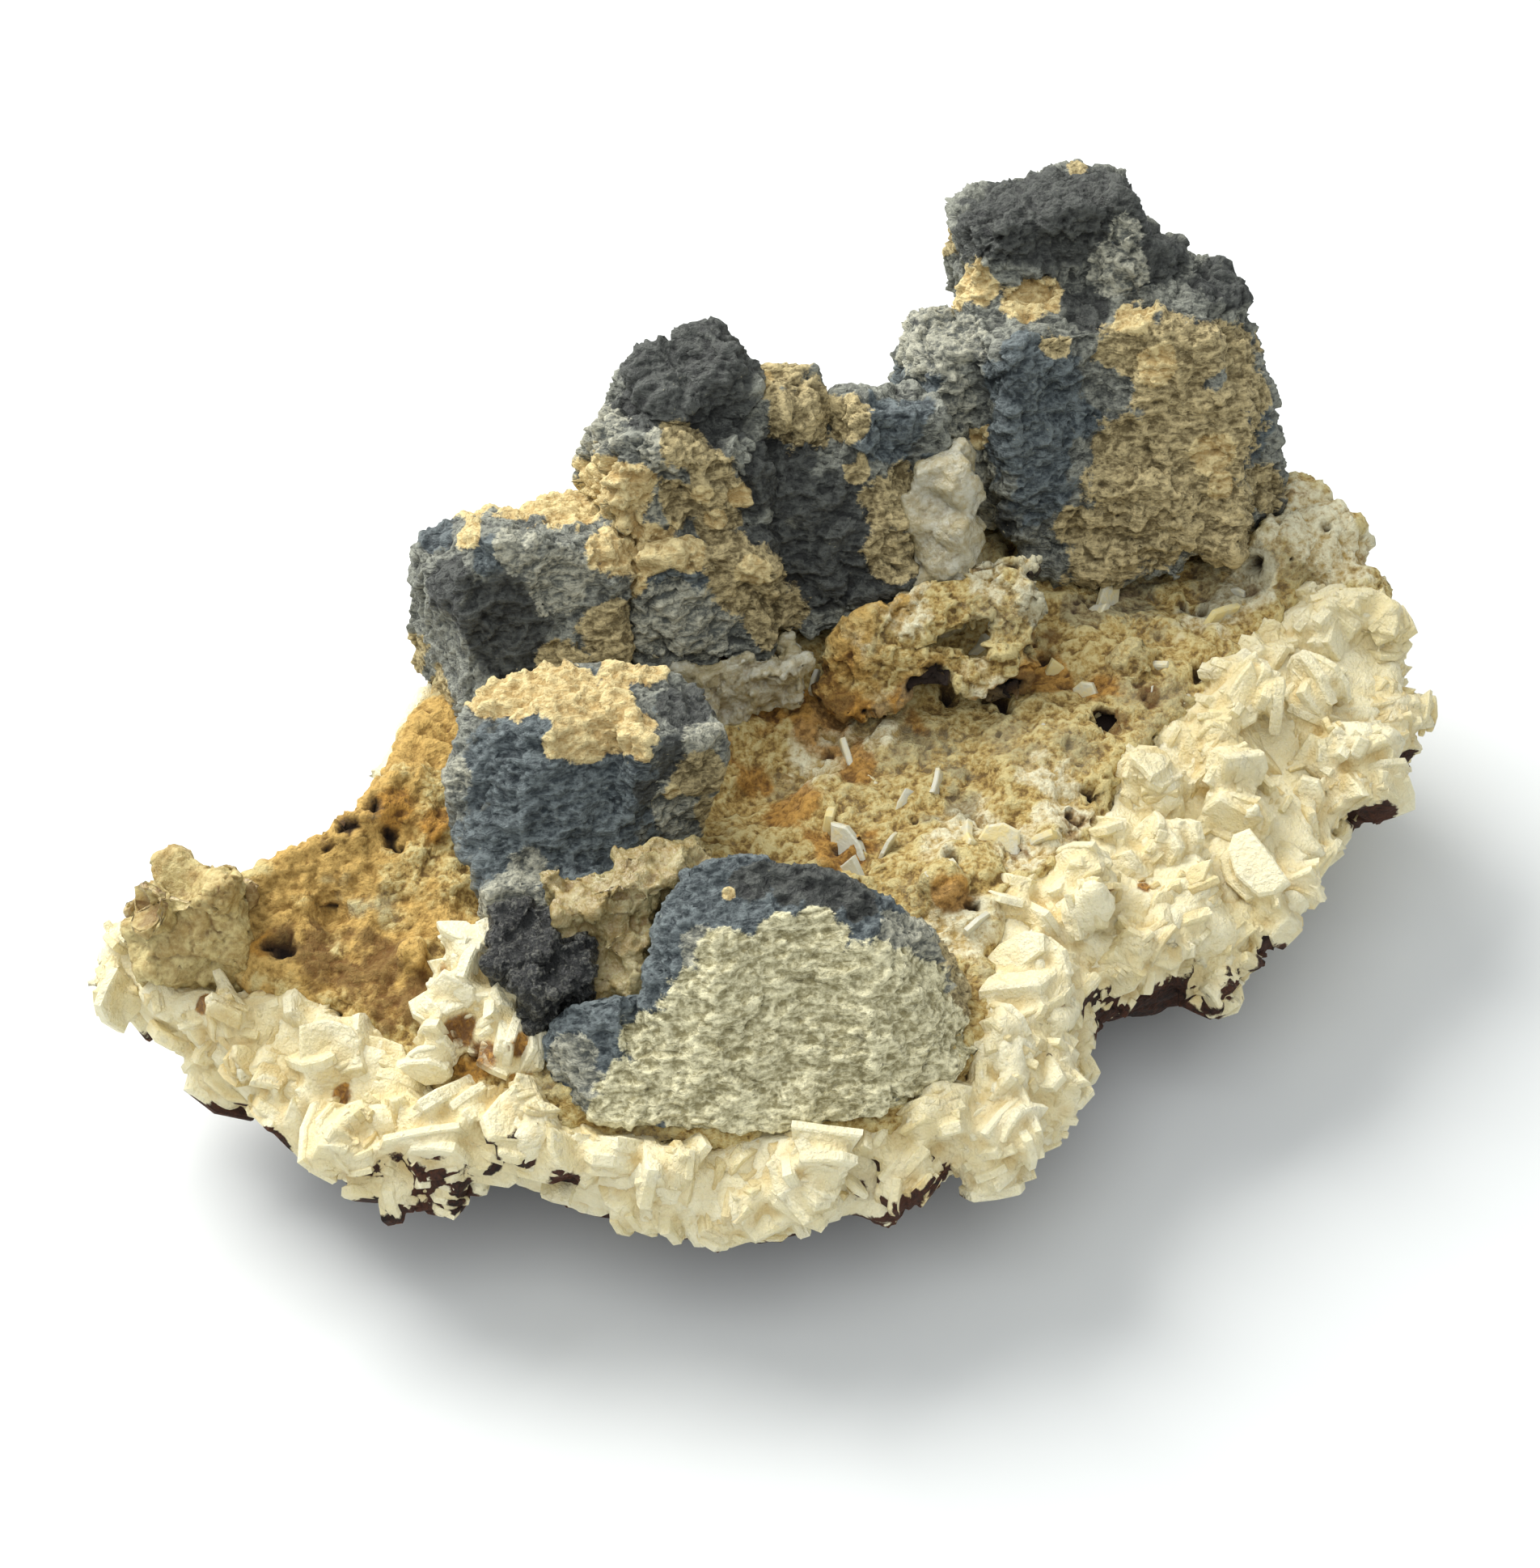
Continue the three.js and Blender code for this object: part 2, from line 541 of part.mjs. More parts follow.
const cutters = [];
for (const [name, build, colour, roughness] of PIECES) {
  const solid = cutters.reduce((rest, cutter) => rest.subtract(cutter), build(0));
  addPiece(name, largestBody(solid), colour, roughness);
  cutters.push(build(GAP));
}

const box = new THREE.Box3().setFromObject(group);
const centre = box.getCenter(new THREE.Vector3());
group.position.set(-centre.x, -centre.y, 0);

export default group;
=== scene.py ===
# %% [markdown]
# A galena specimen, dressed for its portrait
#
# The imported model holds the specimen's pieces as flat-faced solids at their real size: dark
# crystals of galena on a tan crust, in a shallow bowl of white blades. This lesson gives each
# of them the skin that the real one has. The solids are loaded first and never moved.

# %% Load the solids
import math

import bpy
import numpy as np
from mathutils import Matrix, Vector
from mathutils.bvhtree import BVHTree


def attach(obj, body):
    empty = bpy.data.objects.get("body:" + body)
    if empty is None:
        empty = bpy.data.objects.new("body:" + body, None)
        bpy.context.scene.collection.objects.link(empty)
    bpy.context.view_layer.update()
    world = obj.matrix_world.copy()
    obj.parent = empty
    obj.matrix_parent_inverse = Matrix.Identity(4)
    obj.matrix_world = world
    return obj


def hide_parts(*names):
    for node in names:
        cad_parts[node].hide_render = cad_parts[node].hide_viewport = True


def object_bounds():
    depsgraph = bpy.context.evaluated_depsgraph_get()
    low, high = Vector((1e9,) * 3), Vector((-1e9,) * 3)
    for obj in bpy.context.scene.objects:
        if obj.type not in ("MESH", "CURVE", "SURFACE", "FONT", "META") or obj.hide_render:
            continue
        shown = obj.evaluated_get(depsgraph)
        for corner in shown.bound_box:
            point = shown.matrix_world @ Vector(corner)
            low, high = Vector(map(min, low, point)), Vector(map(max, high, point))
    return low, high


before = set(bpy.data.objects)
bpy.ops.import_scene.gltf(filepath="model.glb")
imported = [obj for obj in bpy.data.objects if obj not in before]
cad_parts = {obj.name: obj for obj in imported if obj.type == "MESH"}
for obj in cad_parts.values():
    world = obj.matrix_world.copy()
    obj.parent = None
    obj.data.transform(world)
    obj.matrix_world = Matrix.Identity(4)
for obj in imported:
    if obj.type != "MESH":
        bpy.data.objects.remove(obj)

cad_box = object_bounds()
MM = 0.001  # one millimetre in metres
print("pieces:", sorted(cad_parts))


def add_object(name, data):
    """Puts a mesh, a lamp's or a camera's data into the scene."""
    made = bpy.data.objects.new(name, data)
    bpy.context.scene.collection.objects.link(made)
    return made


# %% [markdown]
# The camera comes first, because places on the specimen are read from the photograph in
# pixels. It looks down at 42 degrees from the front. Its distance is four times the height of
# the view, so near and far crystals keep almost the same scale, as they do in the photo.

# %% Camera at the photograph's viewing angle
PHOTO_WIDTH, PHOTO_HEIGHT = 1904, 1938
CENTRE_PX = (PHOTO_WIDTH / 2, PHOTO_HEIGHT / 2)
AIM = Vector((-2.4, -0.2, 20.0)) * MM
LOOK_DOWN = math.radians(42)
DISTANCE = 240 * MM
SCALE_MM = 0.075  # millimetres to a pixel at the aim point
SENSOR_MM = 36.0

view_back = Vector((0, -math.cos(LOOK_DOWN), math.sin(LOOK_DOWN)))
view_up = Vector((0, math.sin(LOOK_DOWN), math.cos(LOOK_DOWN)))
camera_place = AIM + view_back * DISTANCE
focal_px = DISTANCE / (SCALE_MM * MM)

camera_data = bpy.data.cameras.new("photo_view")
camera_data.sensor_width = SENSOR_MM
camera_data.lens = SENSOR_MM * focal_px / PHOTO_HEIGHT
camera_data.clip_end = 20  # metres
camera = add_object("photo_view", camera_data)
camera.location = camera_place
camera.rotation_euler = (-view_back).to_track_quat("-Z", "Y").to_euler()
bpy.context.scene.camera = camera
print("lens:", round(camera_data.lens, 2), "mm")

# %% [markdown]
# A stain or a patch is placed where the photo shows it: a ray from the camera through its
# pixel meets the solid that carries it. The patch is then a ball round that point, so it
# stays on its crystal when the specimen is seen from another side.

# %% From a pixel to a place on the specimen
def tree_of(node):
    """A search tree over one solid's triangles."""
    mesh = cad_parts[node].data
    corners = [vertex.co for vertex in mesh.vertices]
    return BVHTree.FromPolygons(corners, [list(face.vertices) for face in mesh.polygons])


trees = {node: tree_of(node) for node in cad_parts}


def place_of(node, across, down):
    """The point, in mm, where the sight line through a pixel first meets the solid, or the
    solid's point nearest to that line's end if it misses."""
    right = Vector((1, 0, 0))
    line = (
        right * ((across - CENTRE_PX[0]) / focal_px)
        - view_up * ((down - CENTRE_PX[1]) / focal_px)
        - view_back
    ).normalized()
    found = trees[node].ray_cast(camera_place, line)[0]
    if found is None:
        found = trees[node].find_nearest(camera_place + line * DISTANCE)[0]
    return np.array(found) / MM


SIGHT_SHARE = 0.4  # how much the depth along the line of sight counts in a patch


def patch(points, node, spots, soft=0.35):
    """How far inside a set of round spots each point is.

    Each spot is (across, down, radius) in pixels. The value is (radius - distance) / (soft x
    radius), cut to -1..1, and the largest over the spots counts: above 0 is inside. Depth
    along the line of sight counts only in part, so a spot stays round in the photo's view.
    """
    inside = np.full(len(points), -1.0)
    for across, down, radius in spots:
        reach = radius * SCALE_MM
        offset = points - place_of(node, across, down)
        depth = offset @ np.array(view_back)
        beside = np.maximum((offset**2).sum(axis=1) - depth**2, 0)
        distance = np.sqrt(beside + (SIGHT_SHARE * depth) ** 2)
        inside = np.maximum(inside, np.clip((reach - distance) / (soft * reach), -1, 1))
    return inside


crust_middle = place_of("tan_crust", *CENTRE_PX)
print("the photo's middle lies on the crust at", crust_middle.round(1), "mm")

# %% [markdown]
# Broken rock is rough at every scale, so its surface is a sum of random waves, each half as
# wide and half as high as the one before. The waves come from random numbers at the corners
# of a grid of cells, blended smoothly between them. They are worked out for all points at
# once, and the same seed always gives the same rock.

# %% Random waves and cells
CELL_FACTORS = (73856093, 19349663, 83492791)  # a large odd number for each axis
SEED_FACTOR, MIX_FACTOR = 374761393, 1274126177
LOW_32_BITS, LOW_24_BITS = 0xFFFFFFFF, 0xFFFFFF
WAVE_SHIFT_MM, RIDGE_SHIFT_MM = 17.3, 11.1  # each layer is read this far from the last


def cell_random(cells, seed):
    """A number from 0 to 1 for each whole-number cell: its coordinates times large odd
    numbers, joined by exclusive-or and mixed twice."""
    x, y, z = (cells[..., axis] * CELL_FACTORS[axis] for axis in range(3))
    mixed = (x ^ y ^ z) + seed * SEED_FACTOR
    mixed = (mixed ^ ((mixed & LOW_32_BITS) >> 13)) * MIX_FACTOR
    mixed = (mixed & LOW_32_BITS) ^ ((mixed & LOW_32_BITS) >> 16)
    return (mixed & LOW_24_BITS) / LOW_24_BITS


def wave(points, size, seed):
    """Smooth noise from -1 to 1 with cells of the given size: corner numbers blended by
    3t2 - 2t3 along each axis."""
    scaled = points / size
    low = np.floor(scaled).astype(np.int64)
    part = scaled - low
    part = part * part * (3 - 2 * part)
    total = np.zeros(len(points))
    for corner in np.ndindex(2, 2, 2):
        corner = np.array(corner)
        share = np.prod(np.where(corner, part, 1 - part), axis=1)
        total += share * cell_random(low + corner, seed)
    return 2 * total - 1


def rough(points, size, layers, seed, keep=0.5):
    """A sum of waves: each layer has half the size and keep times the height of the last."""
    total = np.zeros(len(points))
    height = 1.0
    for layer in range(layers):
        total += height * wave(points + WAVE_SHIFT_MM * layer, size / 2**layer, seed + layer)
        height *= keep
    return total


def ridges(points, size, layers, seed):
    """Narrow crests like wrinkled skin, about -1 to 1: layers of 1 - 3|wave|, summed, each
    half as wide and 0.6 times as high as the last."""
    total = np.zeros(len(points))
    for layer in range(layers):
        moved = points + RIDGE_SHIFT_MM * layer
        crest = 1 - 3 * np.abs(wave(moved, size / 2**layer, seed + 30 + layer))
        total += 0.6**layer * np.maximum(crest, -1)
    return total


def crumbs(points, size, seed):
    """Distance to the nearest of one random point per cell, and that cell's own number."""
    scaled = points / size
    low = np.floor(scaled).astype(np.int64)
    best = np.full(len(points), 9.0)
    number = np.zeros(len(points))
    for step in np.ndindex(3, 3, 3):
        cell = low + np.array(step) - 1
        jitter = np.stack([cell_random(cell, seed + axis) for axis in range(3)], axis=1)
        distance = np.linalg.norm(cell + jitter - scaled, axis=1)
        nearer = distance < best
        best = np.where(nearer, distance, best)
        number = np.where(nearer, cell_random(cell, seed + 7), number)
    return best, number


def breaks(points, size, seed):
    """Broken rock, as two heights: steps from -1 to 1, where every random cell is flat at its
    own number, and mounds that fall from 0.5 with the distance to the cell's point. Waves bend
    the cells' borders."""
    bent = points + 0.3 * size * np.stack(
        [rough(points, size * 0.6, 2, seed + 50 + axis) for axis in range(3)], axis=1
    )
    near, number = crumbs(bent, size, seed)
    return 2 * number - 1, 0.5 - near


def soft_step(value, low, high):
    """0 below low, 1 above high, and 3t2 - 2t3 between."""
    part = np.clip((value - low) / (high - low), 0, 1)
    return part * part * (3 - 2 * part)


sample = rough(np.linspace((0, 0, 0), (50, 30, 20), 500), 5.0, 4, 1)
print("four layers of waves run from", sample.min().round(2), "to", sample.max().round(2))

# %% [markdown]
# A solid's large flat triangles can't carry that roughness. So closed shells, which may
# overlap, are laid over again with one skin of small even faces, by a voxel remesh, and
# softened a little. Crystals that overlap grow together in this step, as real ones do. The
# points of the skin then move along their normals. The solid itself is only hidden.

# %% Fine skins over shells
def shell_of(node):
    """A solid's points in mm and its triangles, as arrays."""
    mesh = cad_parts[node].data
    mesh.calc_loop_triangles()
    faces = np.empty(len(mesh.loop_triangles) * 3, dtype=np.int64)
    mesh.loop_triangles.foreach_get("vertices", faces)
    return read_points(mesh)[0], faces.reshape(-1, 3)


def smoothed(mesh, passes, voxel=None):
    """A copy of a mesh, remeshed if a voxel size in mm is given, then smoothed."""
    holder = add_object("holder", mesh)
    if voxel:
        remesh = holder.modifiers.new("remesh", "REMESH")
        remesh.mode = "VOXEL"
        remesh.voxel_size = voxel * MM
    holder.modifiers.new("soften", "SMOOTH").iterations = passes
    graph = bpy.context.evaluated_depsgraph_get()
    result = bpy.data.meshes.new_from_object(holder.evaluated_get(graph))
    bpy.data.objects.remove(holder)
    return result


def fused(shells, voxel, passes):
    """One smooth skin round all the shells together."""
    starts = np.cumsum([0] + [len(points) for points, _ in shells])
    faces = []
    for start, (_, shell_faces) in zip(starts, shells):
        faces += (shell_faces + start).tolist()
    mesh = bpy.data.meshes.new("shells")
    mesh.from_pydata((np.concatenate([points for points, _ in shells]) * MM).tolist(), [], faces)
    fine = smoothed(mesh, passes, voxel)
    fine.shade_smooth()
    return fine


def relief(mesh, passes=14):
    """How far each point stands out, in mm: its offset from its own place in a smoothed copy
    of the mesh, measured along the normal. Hollows are negative."""
    points, normals = read_points(mesh)
    calm = read_points(smoothed(mesh, passes))[0]
    return ((points - calm) * normals).sum(axis=1)


def read_points(mesh):
    """A mesh's points in mm, and their normals."""
    points = np.empty(len(mesh.vertices) * 3)
    mesh.vertices.foreach_get("co", points)
    normals = np.empty(len(mesh.vertices) * 3)
    mesh.vertex_normals.foreach_get("vector", normals)
    return points.reshape(-1, 3) / MM, normals.reshape(-1, 3)


def write_points(mesh, points):
    """Moves a mesh's points to the given places in mm."""
    mesh.vertices.foreach_set("co", (points * MM).ravel())
    mesh.update()


def write_mask(mesh, name, values):
    """Stores one number for each point, which the material reads by name."""
    layer = mesh.attributes.new(name, "FLOAT", "POINT")
    layer.data.foreach_set("value", np.asarray(values, dtype=np.float32))


def present(name, mesh, material, stands_for=()):
    """Puts a finished mesh into the scene: dressed, and riding on the specimen."""
    piece = add_object(name, mesh)
    mesh.materials.clear()
    mesh.materials.append(material)
    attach(piece, "root")
    for node in stands_for:
        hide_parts(node)
    mesh.calc_loop_triangles()
    print(name, len(mesh.loop_triangles), "triangles")
    return piece


for crystal in ("galena_front_crystal", "galena_tower_cluster"):
    print(crystal, "has", len(shell_of(crystal)[1]), "flat triangles")

# %% [markdown]
# Materials are written as sums. A Wire is a value on its way through a material's nodes, and
# adding or multiplying two wires adds the Math node that does it. Every other node comes from
# Finish.node, which sets the node's settings first and then its sockets.

# %% Shader sums
NOISE_ROUGHNESS = 0.62  # how strongly each finer layer of a noise counts
MILKY = (1.0, 0.9, 0.6)  # how far red, green and blue go into a milky crystal, as shares


class Wire:
    """A socket that can be added to, multiplied and so on."""

    def __init__(self, finish, socket):
        self.finish = finish
        self.socket = socket

    def math(self, operation, first, second):
        """A Math node that joins two values."""
        sockets = {0: first, 1: second}
        return self.finish.node("ShaderNodeMath", {"operation": operation}, sockets)

    def __add__(self, other):
        return self.math("ADD", self, other)

    __radd__ = __add__

    def __mul__(self, other):
        return self.math("MULTIPLY", self, other)

    __rmul__ = __mul__

    def __sub__(self, other):
        return self.math("SUBTRACT", self, other)

    def __rsub__(self, other):
        return self.math("SUBTRACT", other, self)

    def step(self, low, high):
        """0 below low and 1 above high, smooth between."""
        return self.finish.node(
            "ShaderNodeMapRange",
            {"interpolation_type": "SMOOTHSTEP"},
            {"Value": self, "From Min": low, "From Max": high},
        )


class Finish:
    """One material: its Principled shader, and the nodes that feed it."""

    def __init__(self, name, **constants):
        self.material = bpy.data.materials.new(name)
        self.material.use_nodes = True
        self.tree = self.material.node_tree
        self.shader = self.tree.nodes["Principled BSDF"]
        for socket, value in constants.items():
            self.shader.inputs[socket.replace("_", " ").title()].default_value = value
        place = self.node("ShaderNodeTexCoord", out="Object")
        scale = {0: place, "Scale": 1 / MM}
        self.place_mm = self.node("ShaderNodeVectorMath", {"operation": "SCALE"}, scale)

    def node(self, kind, settings=None, sockets=None, out=0):
        """A new node: its settings first, then the value or the wire of each socket."""
        made = self.tree.nodes.new(kind)
        for name, value in (settings or {}).items():
            setattr(made, name, value)
        for name, value in (sockets or {}).items():
            if isinstance(value, Wire):
                self.tree.links.new(value.socket, made.inputs[name])
            else:
                made.inputs[name].default_value = value
        return Wire(self, made.outputs[out])

    def mask(self, name):
        """The number that the mesh carries under this name, for each point."""
        return self.node("ShaderNodeAttribute", {"attribute_name": name}, out="Fac")

    def noise(self, size, detail=3.0, stretch=(1, 1, 1), distort=0.0):
        """Noise from 0 to 1 with features of the given size in mm, stretched on each axis."""
        place = self.place_mm
        if stretch != (1, 1, 1):
            shrink = tuple(1 / factor for factor in stretch)
            operation = {"operation": "MULTIPLY"}
            place = self.node("ShaderNodeVectorMath", operation, {0: place, 1: shrink})
        sockets = {"Vector": place, "Scale": 1 / size, "Detail": detail, "Distortion": distort}
        sockets["Roughness"] = NOISE_ROUGHNESS
        return self.node("ShaderNodeTexNoise", None, sockets)

    def blend(self, share, first, second):
        """The first colour where share is 0, the second where it is 1."""
        settings = {"data_type": "RGBA", "clamp_factor": True}
        sockets = {0: share, 6: first, 7: second}
        return self.node("ShaderNodeMix", settings, sockets, out=2)

    def feed(self, socket, wire):
        """Leads a wire into one of the shader's own sockets."""
        self.tree.links.new(wire.socket, self.shader.inputs[socket])

    def milky(self, depth_mm):
        """Light goes about depth_mm into the crystal and scatters back."""
        self.shader.inputs["Subsurface Radius"].default_value = MILKY
        self.shader.inputs["Subsurface Scale"].default_value = depth_mm * MM

    def bump(self, height, depth_mm):
        """Small relief: height from 0 to 1 stands depth_mm high."""
        sockets = {"Height": height, "Distance": depth_mm * MM, "Strength": 1.0}
        self.feed("Normal", self.node("ShaderNodeBump", None, sockets))


def paint(red, green, blue):
    """A colour as it looks on a screen, 0 to 255, turned into the shader's linear values."""
    linear = [((part / 255 + 0.055) / 1.055) ** 2.4 for part in (red, green, blue)]
    return (*linear, 1.0)


print("a mid grey of 128 is", round(paint(128, 128, 128)[0], 3), "in linear values")

# %% [markdown]
# Galena weathers from bright lead to a dull slate blue. Close up it isn't smooth: it has a
# nap of fine streaks and grains, grey where it is rubbed, and tan crust clings to it. A photo
# laid over it would show these, but only from one side. So the finish mixes six looks by masks
# that the mesh carries, and noise breaks each mask's edge, so that no border is a clean line.

# %% Finish for the galena
SLATE = paint(66, 69, 64)
SLATE_LIGHT = paint(160, 162, 148)
NEAR_BLACK = paint(30, 32, 31)
# Painted shade, laid into the galena's hollows.
HOLLOW_SHADE = paint(40, 36, 28)
# Each look's low colour serves as painted shade and its high colour as painted highlight where the
# nap follows the relief; elsewhere the two are grain.
GALENA_LOOKS = {  # mask: the colour of its low parts, and of its high parts
    "blue": (paint(45, 54, 58), paint(120, 130, 130)),
    "dark": (paint(38, 40, 38), paint(91, 94, 88)),
    "rubbed": (paint(84, 88, 82), paint(196, 194, 172)),
    "clay": (paint(112, 98, 64), paint(214, 196, 146)),
    "pale": (paint(150, 141, 100), paint(255, 248, 206)),
    "ochre": (paint(184, 154, 98), paint(236, 218, 162)),
}


def galena_finish():
    """Each look's colour runs from low to high with the nap = 0.45 relief + 1.4 streaks + 1.1
    fine noise + 0.6 clouds, and lies over the looks before it where its mask + noise is high.
    The relief part is painted shade on low and painted highlight on raised points, and at the
    end the hollows get painted shade."""
    finish = Finish("dull_galena")
    streak = finish.noise(0.55, 4, stretch=(2.6, 1.4, 0.7), distort=0.8)
    fine = finish.noise(0.4, 4)
    cloud = finish.noise(4.5, 4)
    frayed = (fine + streak - 1.0) * 1.3
    # The relief share of the nap paints shade on low and highlight on raised points; streaks, fine
    # noise and clouds are grain.
    nap_and_relief_shade = finish.mask("relief") * 0.45 + streak * 1.4 + fine * 1.1 + cloud * 0.6
    flecked_and_shaded = nap_and_relief_shade.step(1.4, 2.2)
    colour = finish.blend(flecked_and_shaded, SLATE, SLATE_LIGHT)
    for look, (low, high) in GALENA_LOOKS.items():
        share = (finish.mask(look) + frayed * 0.8 + cloud * 0.4 - 0.2).step(0.3, 0.7)
        colour = finish.blend(share, colour, finish.blend(flecked_and_shaded, low, high))
    # Painted shade in the hollows.
    finish.feed("Base Color", finish.blend(finish.mask("hollow_shade") * 0.7, colour, HOLLOW_SHADE))
    dry = finish.mask("ochre") + finish.mask("pale") + finish.mask("clay")
    finish.feed("Roughness", (fine * 0.4 + dry * 0.4 + 0.35).step(-0.2, 1.1))
    finish.bump(streak * 0.8 + fine * 0.8, 0.5)
    return finish.material


galena = galena_finish()
print(galena.name, "has", len(galena.node_tree.nodes), "nodes")

# %% [markdown]
# Every look of the galena lies where the photo shows it. A rule could only guess that: the
# dark parts aren't always below, and the pale face is turned to the front. So each crystal has
# its spots for each look, listed as (across, down, radius) in the photo's pixels.

# %% Where each look lies on the galena
GALENA_SPOTS_PX = {
    "galena_front_crystal": {
        "blue": [(850, 1200, 400)],
        "dark": [(980, 1085, 30), (930, 1090, 24), (1020, 1100, 30), (1060, 1110, 24)],
        "rubbed": [
            (870, 1180, 26), (1120, 1160, 34), (1180, 1190, 50), (1215, 1230, 60), (705, 1310, 34),
            (730, 1350, 30), (1235, 1290, 60),
        ],
        "clay": [(1195, 1255, 40), (1220, 1320, 40)],
        "pale": [
            (965, 1165, 34), (1010, 1165, 40), (915, 1200, 44), (1060, 1210, 48), (870, 1250, 50),
            (1130, 1240, 54), (1180, 1290, 50), (830, 1300, 52), (790, 1350, 46), (760, 1380, 30),
            (950, 1260, 90), (1040, 1300, 100), (1140, 1300, 60), (900, 1340, 90),
            (1000, 1380, 70), (1170, 1350, 50),
        ],
        "ochre": [(900, 1105, 9)],
    },
    "galena_left_crystal": {
        "blue": [(690, 1000, 120), (700, 940, 110), (620, 960, 50)],
        "dark": [(850, 880, 34), (850, 940, 34), (800, 980, 16)],
        "rubbed": [
            (562, 960, 24), (566, 1040, 22), (630, 1120, 34), (670, 1150, 44), (690, 1195, 40),
            (800, 1060, 26), (838, 1000, 30), (750, 1110, 26), (870, 910, 26),
        ],
        "clay": [(868, 960, 30), (880, 1000, 24), (545, 900, 16)],
        "pale": [],
        "ochre": [
            (610, 862, 30), (655, 850, 38), (700, 868, 42), (745, 885, 40), (782, 905, 30),
            (720, 912, 30), (800, 830, 26), (765, 828, 22), (690, 915, 18), (795, 930, 12),
            (830, 980, 9),
        ],
    },
    "galena_round_crystal": {
        "blue": [(540, 660, 24), (600, 690, 24)],
        "dark": [(620, 770, 60), (560, 720, 36)],
        "rubbed": [(690, 720, 40), (640, 680, 26)],
        "clay": [(510, 810, 26), (520, 860, 30), (760, 780, 40), (700, 820, 30)],
        "pale": [],
        "ochre": [
            (640, 606, 44), (690, 590, 54), (740, 620, 56), (595, 636, 26), (580, 665, 18),
            (770, 680, 40), (800, 730, 30), (700, 610, 40),
        ],
    },
    "galena_middle_cluster": {
        "blue": [(1100, 530, 46), (1130, 500, 30), (860, 740, 50), (830, 700, 40), (740, 540, 30)],
        "dark": [
            (850, 450, 80), (800, 490, 50), (870, 500, 56), (960, 600, 50), (1040, 640, 70),
            (1010, 700, 60), (960, 690, 50), (1080, 720, 40), (980, 560, 36),
        ],
        "rubbed": [(745, 545, 40), (880, 770, 40), (800, 620, 30), (830, 760, 40), (820, 560, 26)],
        "clay": [
            (846, 545, 30), (880, 590, 34), (840, 620, 28), (890, 645, 26), (960, 470, 34),
            (1000, 510, 44), (1050, 520, 30), (1110, 620, 44), (1100, 680, 34), (930, 720, 44),
            (900, 690, 30), (1060, 580, 20), (960, 760, 40),
        ],
        "pale": [],
        "ochre": [
            (866, 606, 12), (915, 612, 14), (885, 640, 12), (945, 476, 14), (1140, 620, 14),
            (772, 620, 42), (740, 590, 36), (796, 672, 38), (850, 684, 20), (930, 705, 18),
            (780, 720, 24),
        ],
    },
    "galena_tower_cluster": {
        "blue": [
            (1285, 470, 60), (1275, 540, 60), (1290, 600, 44), (1130, 480, 40), (1120, 440, 20),
            (1400, 320, 40), (1590, 540, 44), (1340, 520, 20),
        ],
        "dark": [
            (1280, 260, 90), (1350, 250, 60), (1430, 300, 50), (1510, 350, 44), (1340, 380, 30),
            (1230, 640, 24), (1560, 640, 26), (1230, 280, 50), (1490, 420, 24),
        ],
        "rubbed": [
            (1200, 580, 36), (1210, 630, 30), (1160, 420, 50), (1380, 330, 34), (1390, 290, 20),
            (1180, 500, 30), (1100, 430, 20),
        ],
        "clay": [
            (1450, 455, 60), (1485, 540, 76), (1420, 620, 84), (1500, 640, 60), (1390, 560, 44),
            (1365, 680, 50), (1530, 430, 44), (1330, 650, 30), (1400, 430, 40), (1540, 480, 36),
            (1310, 420, 22), (1172, 300, 20), (1330, 210, 12), (1560, 600, 30),
        ],
        "pale": [(1170, 320, 12)],
        "ochre": [
            (1205, 350, 28), (1275, 375, 34), (1215, 540, 16), (1400, 395, 24), (1500, 560, 26),
            (1430, 450, 24), (1510, 600, 16), (1290, 365, 24), (1190, 375, 16),
        ],
    },
}
print("looks on each crystal:", list(GALENA_LOOKS))

# %% [markdown]
# Each galena piece then gets the same treatment: large lumps that break up its flat facets,
# wrinkles and broken grain over them, and a raised, crumbly layer where the tan crust clings.

# %% The galena crystals
GALENA_RELIEF = {  # how strongly the flat facets are broken, and rounded first; in mm
    "galena_front_crystal": (0.5, 1.1),
    "galena_left_crystal": (0.6, 1.6),
    "galena_round_crystal": (0.8, 2.6),
    "galena_middle_cluster": (1.05, 1.8),
    "galena_tower_cluster": (0.95, 2.2),
}
GALENA_VOXEL = 0.25
GRAIN_STRETCH = (0.5, 0.8, 1.0)  # the wrinkles run from left to right


